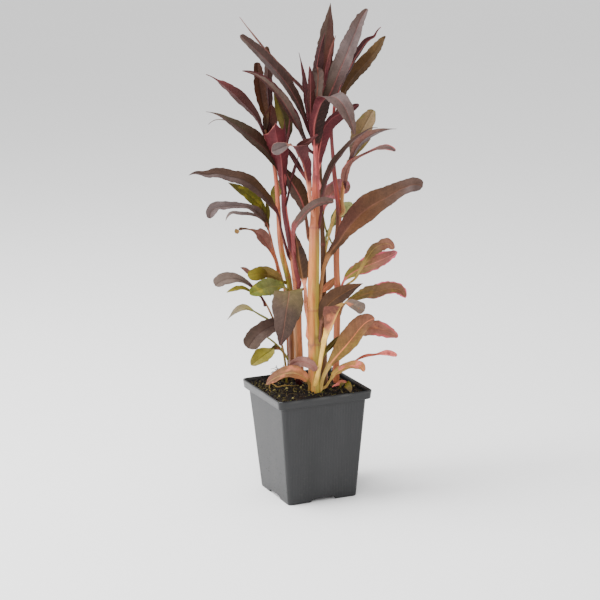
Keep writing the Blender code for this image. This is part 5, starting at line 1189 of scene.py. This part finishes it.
def makePot():
    # the profile swept round the rounded square, with the foot's notches and the ribs made by moving
    # its points, and a floor below with four drains cut in it
    low = pot["height"] - pot["collar"]
    rings = np.array([level(squareRing(h, r), z) for h, z, r in potLine()])
    middle = [rings[-1] * (k, k, 1) for k in (0.7, 0.35, 0.02)]
    below = [rings[0] * (k, k, 1) for k in (0.02, 0.35, 0.7)]
    rings = np.concatenate([below, rings, middle])
    x, y, z = rings[..., 0], rings[..., 1], rings[..., 2]
    near = np.minimum(np.abs(x), np.abs(y)) < pot["notch"] / 2
    outer = np.maximum(np.abs(x), np.abs(y)) > pot["baseSide"] / 2 - pot["footWidth"] - 0.01
    rings[..., 2] = np.where(near & outer & (z < 3.0), 3.0 + z * 0.02, z)
    onFront = (y < -pot["baseSide"] / 2) & (z > low - pot["ribLength"] - 1) & (z < low - 0.5)
    share = sum(np.exp(-((x - at) / pot["ribWidth"]) ** 4) for at in pot["ribs"]) * onFront
    rings[..., 1] -= share * held((z - low + pot["ribLength"]) / 6) * pot["ribDepth"]
    warp = layered(rings, pot["warpSize"], 5, 2) * pot["warp"]
    rings[..., 0] += warp * np.sign(rings[..., 0]) * (np.abs(x) > 30)
    rings[..., 1] += warp * np.sign(rings[..., 1]) * (np.abs(y) > 30)
    made = addPiece("potBody", rings, closedFaces(rings), potSkin)
    made.data.set_sharp_from_angle(angle=math.radians(pot["sharp"]))
    cut = made.modifiers.new("drains", "BOOLEAN")
    cut.operation, cut.solver, cut.object = "DIFFERENCE", "EXACT", drainCutter()
    ready = made.evaluated_get(bpy.context.evaluated_depsgraph_get())
    made.data = bpy.data.meshes.new_from_object(ready)
    cutter = cut.object
    made.modifiers.clear()
    bpy.data.objects.remove(cutter)
    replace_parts(made, "pot")


# the soil
def roundedReach(x, y, half, radius):
    # how far out a place is, 1 on the rounded square's line
    qx, qy = np.abs(x) - (half - radius), np.abs(y) - (half - radius)
    corner = np.hypot(np.maximum(qx, 0), np.maximum(qy, 0)) + half - radius
    return np.where((qx > 0) & (qy > 0), corner, np.maximum(np.abs(x), np.abs(y))) / half


def soilTop(x, y):
    # the soil's height with lumps, grains and the dip along the wall
    flat = np.stack([x, y, 0 * x], -1)
    lumps = (layered(flat, soil["lumpSize"], 3, 3) * soil["lump"]
             + layered(flat, soil["grainSize"], 4, 2) * soil["grain"])
    half = pot["collarFoot"] / 2 - pot["wall"]
    edge = held((roundedReach(x, y, half, 3.4) - 0.86) / 0.14)
    return soilHeight(x, y) + lumps * (1 - 0.4 * edge) - soil["edgeDrop"] * edge**2


def soilHalf(z):
    # half the soil's side at a height, a gap inside the pot's wall
    inner = (pot["baseSide"] / 2 - 1.0, pot["bodyTop"] / 2 - 1.3, pot["collarFoot"] / 2 - 1.3)
    return np.interp(z, (4.4, 93.6, 95.4), inner) - soil["gap"]


def makeSoil():
    # a lumpy top on rings of a rounded square, and plain sides and bottom inside the pot
    full, bottom = soilHalf(99), soil["bottom"]
    rim = squareRing(full, 3.2, 48, 8)
    rings = [level(rim * (soilHalf(bottom) / full * k), bottom) for k in (0.03, 0.3, 0.7, 1.0)]
    rings += [level(rim * soilHalf(z) / full, z) for z in (30, 60, 90, 94.5)]
    for k in np.linspace(1, 0, soil["rings"])[:-1] ** 0.9:
        ring = rim * max(k, 0.004)
        rings.append(level(ring, soilTop(ring[:, 0], ring[:, 1])))
    rings = np.array(rings)
    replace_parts(addPiece("soilBody", rings, closedFaces(rings), soilSkin), "soil")


def makeCrumbs():
    # clods on the soil: small lumpy icosahedra, each turned, stretched and tinted on its own
    rng = np.random.default_rng(11)
    count = soil["crumbs"]
    half = pot["rimSide"] / 2 - 3.4
    x, y = rng.uniform(-half, half, (2, count))
    least, spread = soil["crumbSize"]
    size = least + spread * rng.random(count) ** 3.2
    gold = (1 + 5**0.5) / 2
    base = np.array([(-1, gold, 0), (1, gold, 0), (-1, -gold, 0), (1, -gold, 0), (0, -1, gold),
                     (0, 1, gold), (0, -1, -gold), (0, 1, -gold), (gold, 0, -1), (gold, 0, 1),
                     (-gold, 0, -1), (-gold, 0, 1)]) / math.hypot(1, gold)
    sides = np.array([(0, 11, 5), (0, 5, 1), (0, 1, 7), (0, 7, 10), (0, 10, 11), (1, 5, 9), (5, 11, 4),
                      (11, 10, 2), (10, 7, 6), (7, 1, 8), (3, 9, 4), (3, 4, 2), (3, 2, 6), (3, 6, 8),
                      (3, 8, 9), (4, 9, 5), (2, 4, 11), (6, 2, 10), (8, 6, 7), (9, 8, 1)])
    turn = np.linalg.qr(rng.normal(size=(count, 3, 3)))[0]
    turn[np.linalg.det(turn) < 0] *= -1
    shape = base[None] * rng.uniform(0.65, 1.25, (count, 12, 1)) * rng.uniform(0.6, 1.3, (count, 1, 3))
    points = np.einsum("nij,nkj->nki", turn, shape) * size[:, None, None]
    points = points + np.stack([x, y, soilTop(x, y) + size * 0.25], 1)[:, None]
    faces = (sides[None] + 12 * np.arange(count)[:, None, None]).reshape(-1, 3)
    kinds = rng.random(count)
    tint = mixed(linear(soil["crumbDark"]), linear(soil["crumbWarm"]), rng.random((count, 1)) ** 3)
    for chosen, tone, most in ((kinds > 0.93, "crumbPale", 1.15), (kinds < 0.07, "crumbGreen", 1.3)):
        tint[chosen] = linear(soil[tone]) * rng.uniform(0.5, most, (chosen.sum(), 1))
    attributes = dict(tint=np.repeat(tint, 12, 0))
    addPiece("soilCrumbs", points, faces, litterSkin, attributes, smooth=False)


def addThreads(name, paths, radii, tints, sides=5):
    # thin tubes along paths (n, m, 3), with a tint each
    n, m, _ = paths.shape
    ahead = unit(np.gradient(paths, axis=1))
    side = unit(np.cross(ahead, (0.13, 0.21, 1.0)))
    front = np.cross(side, ahead)
    turn = np.arange(sides) * math.tau / sides
    ring = (np.cos(turn)[None, None, :, None] * side[:, :, None]
            + np.sin(turn)[None, None, :, None] * front[:, :, None])
    points = paths[:, :, None] + ring * radii[..., None, None]
    faces = (bands(m, sides)[None] + (np.arange(n) * m * sides)[:, None, None]).reshape(-1, 4)
    addPiece(name, points, faces, litterSkin, dict(tint=np.repeat(tints, m * sides, 0)))


def makeFibres():
    # roots and fibres lying on the soil: short bent threads, brown to straw
    rng = np.random.default_rng(23)
    n, m = soil["fibres"], 9
    half = pot["rimSide"] / 2 - 5
    start = rng.uniform(-half, half, (n, 2))
    bearing = rng.uniform(0, math.tau, n)
    length = rng.uniform(*soil["fibreLength"], n)
    bend = rng.normal(0, 1.1, n)
    t = np.linspace(0, 1, m)
    angle = bearing[:, None] + bend[:, None] * t
    step = np.stack([np.cos(angle), np.sin(angle)], -1) * (length / (m - 1))[:, None, None]
    xy = held(start[:, None] + np.cumsum(step, 1), -half, half)
    arch = np.sin(t * math.pi)[None] * rng.uniform(0, 1.6, n)[:, None] ** 1.5
    paths = np.concatenate([xy, (soilTop(xy[..., 0], xy[..., 1]) + 0.2 + arch)[..., None]], -1)
    radii = rng.uniform(0.10, 0.30, n)[:, None] * (1 - 0.6 * t[None])
    tones = np.array([linear(c) for c in soil["fibreTones"]])
    addThreads("soilFibres", paths, radii, tones[rng.integers(0, len(tones), n)])


def makeRoot():
    # one thick curled root on the soil, which arches up in its middle
    shares = np.linspace(0, 1, 60)
    path = smoothRun(level(np.array(soil["root"]), 0), shares)
    path[:, 2] = soilTop(path[:, 0], path[:, 1]) + 0.7 + soil["rootArch"] * np.sin(shares * math.pi) ** 2
    radii = soil["rootRadius"] * np.sqrt(held(1 - (2 * shares - 1) ** 6, 0.02))
    addThreads("soilRoot", path[None], radii[None], linear(soil["rootTint"])[None], 10)


def makeMoss():
    # moss along the back left wall and one tall tuft: bent threads from the soil, olive to straw
    rng = np.random.default_rng(31)
    n, m = soil["moss"], 7
    spots = rng.uniform((-42, -38), (-33, 38), (n, 2))
    tall = rng.random(n) < 0.2
    spots[tall] = rng.normal((soil["tuftX"], soil["tuftY"]), 2.4, (tall.sum(), 2))
    height = np.where(tall, rng.uniform(*soil["tuftHeight"], n), rng.uniform(*soil["mossHeight"], n))
    lean = rng.normal(0, 0.5, (n, 2)) * height[:, None]
    t = np.linspace(0, 1, m)
    xy = held(spots[:, None] + lean[:, None] * (t**1.7)[None, :, None], -42, 42)
    z = soilTop(spots[:, 0], spots[:, 1])[:, None] + height[:, None] * np.sin(t * math.pi * 0.6)
    radii = np.where(tall, 0.42, rng.uniform(0.08, 0.26, n))[:, None] * (1 - 0.5 * t)
    tones = np.array([linear(c) for c in soil["mossTones"]])
    paths = np.concatenate([xy, z[..., None]], -1)
    addThreads("soilMoss", paths, radii, tones[rng.integers(0, len(tones), n)])


# skins
def makeLeafSkin(name, roughness):
    # the painted tint times fine mottling, with net veins in the tint and in the relief
    g = Graph(name)
    place = g.place()
    facts = g.split(g.attribute("facts")[1])
    across, along, under = facts[0] * 40 - 20, facts[1] * 200, facts[2] * 0.05
    flat = g.join(across * 0.001, along * 0.0006, under)
    net = g.add("ShaderNodeTexVoronoi", dict(feature="DISTANCE_TO_EDGE"),
                {"Vector": flat, "Scale": 1000.0 / 1.1})[0]
    lines = 1 - g.span(net, 0.0, 0.16)
    apart = 0.5 - (g.attribute("phase")[2].fraction() - 0.5).absolute()
    vein = (1 - g.span(apart, 0.015, 0.09)) * g.span(across.absolute(), 0.7, 2.0)
    vein = vein * g.span(g.noise(place, 6.0, 2.0), 0.3, 0.6)
    blotch = g.span(g.noise(place, 7.0), 0.32, 0.68)
    fine = g.noise(place, 0.9)
    speck = g.span(g.noise(place, 1.6, 2.0), 0.60, 0.72)
    run = g.noise(g.join(across * 0.001, along * 0.00008, under), 0.8, 2.0)
    colour = g.shade(g.attribute("tint")[0], 0.76 + 0.26 * blotch + 0.12 * fine + 0.16 * run)
    lighter = g.mix(1.0, g.mix(1.0, colour, (1.35, 1.3, 1.3), "MULTIPLY"), (0.012, 0.007, 0.006), "ADD")
    dark = linear("darkBrown")
    for share, tone in ((vein * 0.5, lighter), (lines * 0.30, lighter), (speck * 0.30, dark)):
        colour = g.mix(share, colour, tone)
    relief = g.bump(lines * -0.5 + fine * 0.7 + g.noise(place, 2.6) * 0.9 - vein * 0.8, 0.10, 0.9)
    return g.finish(colour, roughness - 0.08 * blotch + 0.10 * fine, 0.14, relief)


def makeStemSkin():
    # the painted tint with fine lengthwise streaks, pale dots and a soft gloss
    g = Graph("stemSkin")
    place = g.place()
    streak = g.noise(place, 0.8, stretch=(1, 1, 0.05))
    blotch = g.noise(place, 6.0, stretch=(1, 1, 0.4))
    dots = g.span(g.noise(place, 0.9, 1.0, stretch=(1, 1, 0.5)), 0.66, 0.74)
    colour = g.shade(g.attribute("tint")[0], 0.72 + 0.34 * streak + 0.22 * blotch)
    colour = g.mix(dots * 0.3, colour, g.mix(1.0, colour, (1.6, 1.5, 1.5), "MULTIPLY"))
    return g.finish(colour, 0.52 - 0.16 * streak, 0.18, g.bump(streak * 1.0 + blotch * 0.4, 0.12, 0.8))


def makePotSkin():
    # anthracite plastic: fine upright flutes and grain, scuffs near the foot, painted sheen in soft upright
    # bands and in pale stripes on the flutes, and a painted highlight along the lip
    g = Graph("potSkin")
    place = g.place()
    x, y, z = g.split(place)
    normal = g.split(g.add("ShaderNodeTexCoord")[1])
    run = g.add("ShaderNodeMix", dict(data_type="FLOAT"),
                {0: g.span(normal[0].absolute(), 0.60, 0.80), 2: x, 3: y})[0]
    flute = (run * (1000.0 / pot["fluteStep"])).fraction() - 0.5
    flute = flute * flute * 4
    upright = 1 - g.span(normal[2].absolute(), 0.3, 0.6)
    below = 1 - g.span(z, 0.090, 0.093)
    fluted = flute * upright * below
    grain = g.noise(place, 0.7)
    # painted sheen: soft upright paler bands, which also make the gloss vary
    paintedSheenBands = g.noise(place, 20.0, 2.0, stretch=(1, 1, 0.22))
    low = 1 - g.span(z, 0.010, 0.050)
    scuff = g.span(g.noise(place, 5.0, 4.0, 0.7, stretch=(1, 1, 2.2)), 0.56, 0.70) * (0.25 + 0.75 * low)
    here = g.span(g.noise(place, 30.0, 2.0), 0.35, 0.6)
    # a painted highlight along the top of the lip, laid on in the scuff colour
    lipHighlight = g.span(z, 0.0985, 0.1010) * upright * g.span(g.noise(place, 22.0, 2.0), 0.4, 0.6)
    colour = linear(pot["dark"])
    upper = g.span(z, 0.090, 0.095)
    # the pale colour paints the sheen bands and the highlight stripes on the flutes; the scuff colour
    # paints the scuffs and the lip's highlight
    for share, tone in ((paintedSheenBands, "pale"), (fluted * here * 0.35, "pale"), (upper * 0.5, "rim"),
                        (scuff * 0.30 + lipHighlight * 0.4, "scuff")):
        colour = g.mix(share, colour, linear(pot[tone]))
    relief = g.bump(fluted * (0.3 + 0.7 * here) + grain * 0.2, pot["fluteDepth"], 0.8)
    gloss = pot["roughness"] + 0.12 * paintedSheenBands + 0.3 * scuff - 0.14 * g.span(z, 0.092, 0.098)
    return g.finish(colour, gloss, 0.34, relief)


def makeSoilSkin():
    # dark peat: brown noise at three sizes with straw flecks and deep relief
    g = Graph("soilSkin")
    place = g.place()
    big, mid, fine = g.noise(place, 8.0, 4.0), g.noise(place, 2.0, 4.0, 0.65), g.noise(place, 0.6)
    colour = g.ramp(mid * 0.6 + big * 0.4, [(at, linear(tone)) for at, tone in soil["peat"]])
    fleck = g.span(g.noise(place, 1.1, 2.0, stretch=(1.0, 0.35, 1)), 0.67, 0.71)
    colour = g.mix(fleck * 0.8, colour, linear(soil["fleck"]))
    return g.finish(colour, 0.94, 0.2, g.bump(mid + 0.6 * fine, 0.7))


def makeLitterSkin():
    # crumbs, fibres and moss: their own tint with grain
    g = Graph("litterSkin")
    grain = g.noise(g.place(), 0.8)
    return g.finish(g.shade(g.attribute("tint")[0], 0.65 + 0.7 * grain), 0.9, 0.25, g.bump(grain, 0.25))


print("skins")
leafSkin = {
    "leaf_bronze": makeLeafSkin("leafBronze", 0.60), "leaf_maroon": makeLeafSkin("leafMaroon", 0.54),
    "leaf_olive": makeLeafSkin("leafOlive", 0.58), "leaf_coral": makeLeafSkin("leafCoral", 0.56),
}
stemSkin, potSkin, soilSkin, litterSkin = makeStemSkin(), makePotSkin(), makeSoilSkin(), makeLitterSkin()

print("pot and soil")
makePot()
makeSoil()
makeCrumbs()
makeFibres()
makeRoot()
makeMoss()

print("stems")
for name, spec in stems.items():
    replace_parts(makeStem(name + "_skin", spec), name)

print("leaves")
for name, spec in leaves.items():
    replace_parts(makeLeaf(name + "_skin", spec, slotOf[name]), name)
for name, spec in sprigs.items():
    makeLeaf(name, spec, spec.get("slot", "leaf_bronze"))


# floor, light and camera: each lamp is its place, size and power
stage = dict(
    floorSide=24000.0, floorTones=((0.90, 0.90, 0.90), (0.93, 0.93, 0.93)), floorCloud=900.0, world=1.2,
    eye=(-706.2, -1655.7, 607.0), target=(-4.23, 1.80, 181.0), lens=122.58,
    roll=-1.06, sensor=36, clip=(0.05, 50), aim=(0, 0, 200),
    lamps=dict(lampTop=((-500, 200, 1500), 900, 34), lampLeft=((-1500, 300, 600), 700, 26),
               lampFront=((-900, -1600, 800), 1300, 26)),
)


def makeFloorSkin():
    # a plain pale floor with a trace of tone
    g = Graph("floorSkin")
    colour = g.mix(g.noise(g.place(), stage["floorCloud"], 2.0), *stage["floorTones"])
    return g.finish(colour, 0.75, 0.2)


def makeFloor():
    corners = np.array([(-1, -1, 0), (1, -1, 0), (1, 1, 0), (-1, 1, 0)]) * stage["floorSide"] / 2
    floor = newObject("floor", corners, np.arange(4)[None])
    floor.data.materials.append(makeFloorSkin())


def addLamp(name, place, size, power):
    # a soft square lamp that faces the plant's middle
    lamp = bpy.data.lights.new(name, "AREA")
    lamp.shape, lamp.size, lamp.energy = "SQUARE", size * mm, power
    made = bpy.data.objects.new(name, lamp)
    made.location = [v * mm for v in place]
    made.rotation_euler = (Vector(stage["aim"]) - Vector(place)).to_track_quat("-Z", "Y").to_euler()
    bpy.context.scene.collection.objects.link(made)


def makeCamera():
    # looks from the eye to the target, rolled a little: right' = right cos + up sin
    camera = bpy.data.objects.new("camera", bpy.data.cameras.new("camera"))
    camera.data.lens, camera.data.sensor_width = stage["lens"], stage["sensor"]
    camera.data.sensor_fit = "HORIZONTAL"
    camera.data.clip_start, camera.data.clip_end = stage["clip"]
    place, target = Vector(stage["eye"]) * mm, Vector(stage["target"]) * mm
    look = (target - place).to_track_quat("-Z", "Y").to_matrix().to_4x4()
    roll = Matrix.Rotation(math.radians(stage["roll"]), 4, "Z")
    camera.matrix_world = Matrix.Translation(place) @ look @ roll
    bpy.context.scene.collection.objects.link(camera)
    bpy.context.scene.camera = camera


print("stage")
makeFloor()
world = bpy.data.worlds.new("softRoom")
world.use_nodes = True
background = world.node_tree.nodes["Background"]
background.inputs[0].default_value = (1, 1, 1, 1)
background.inputs[1].default_value = stage["world"]
bpy.context.scene.world = world
for name, values in stage["lamps"].items():
    addLamp(name, *values)
makeCamera()
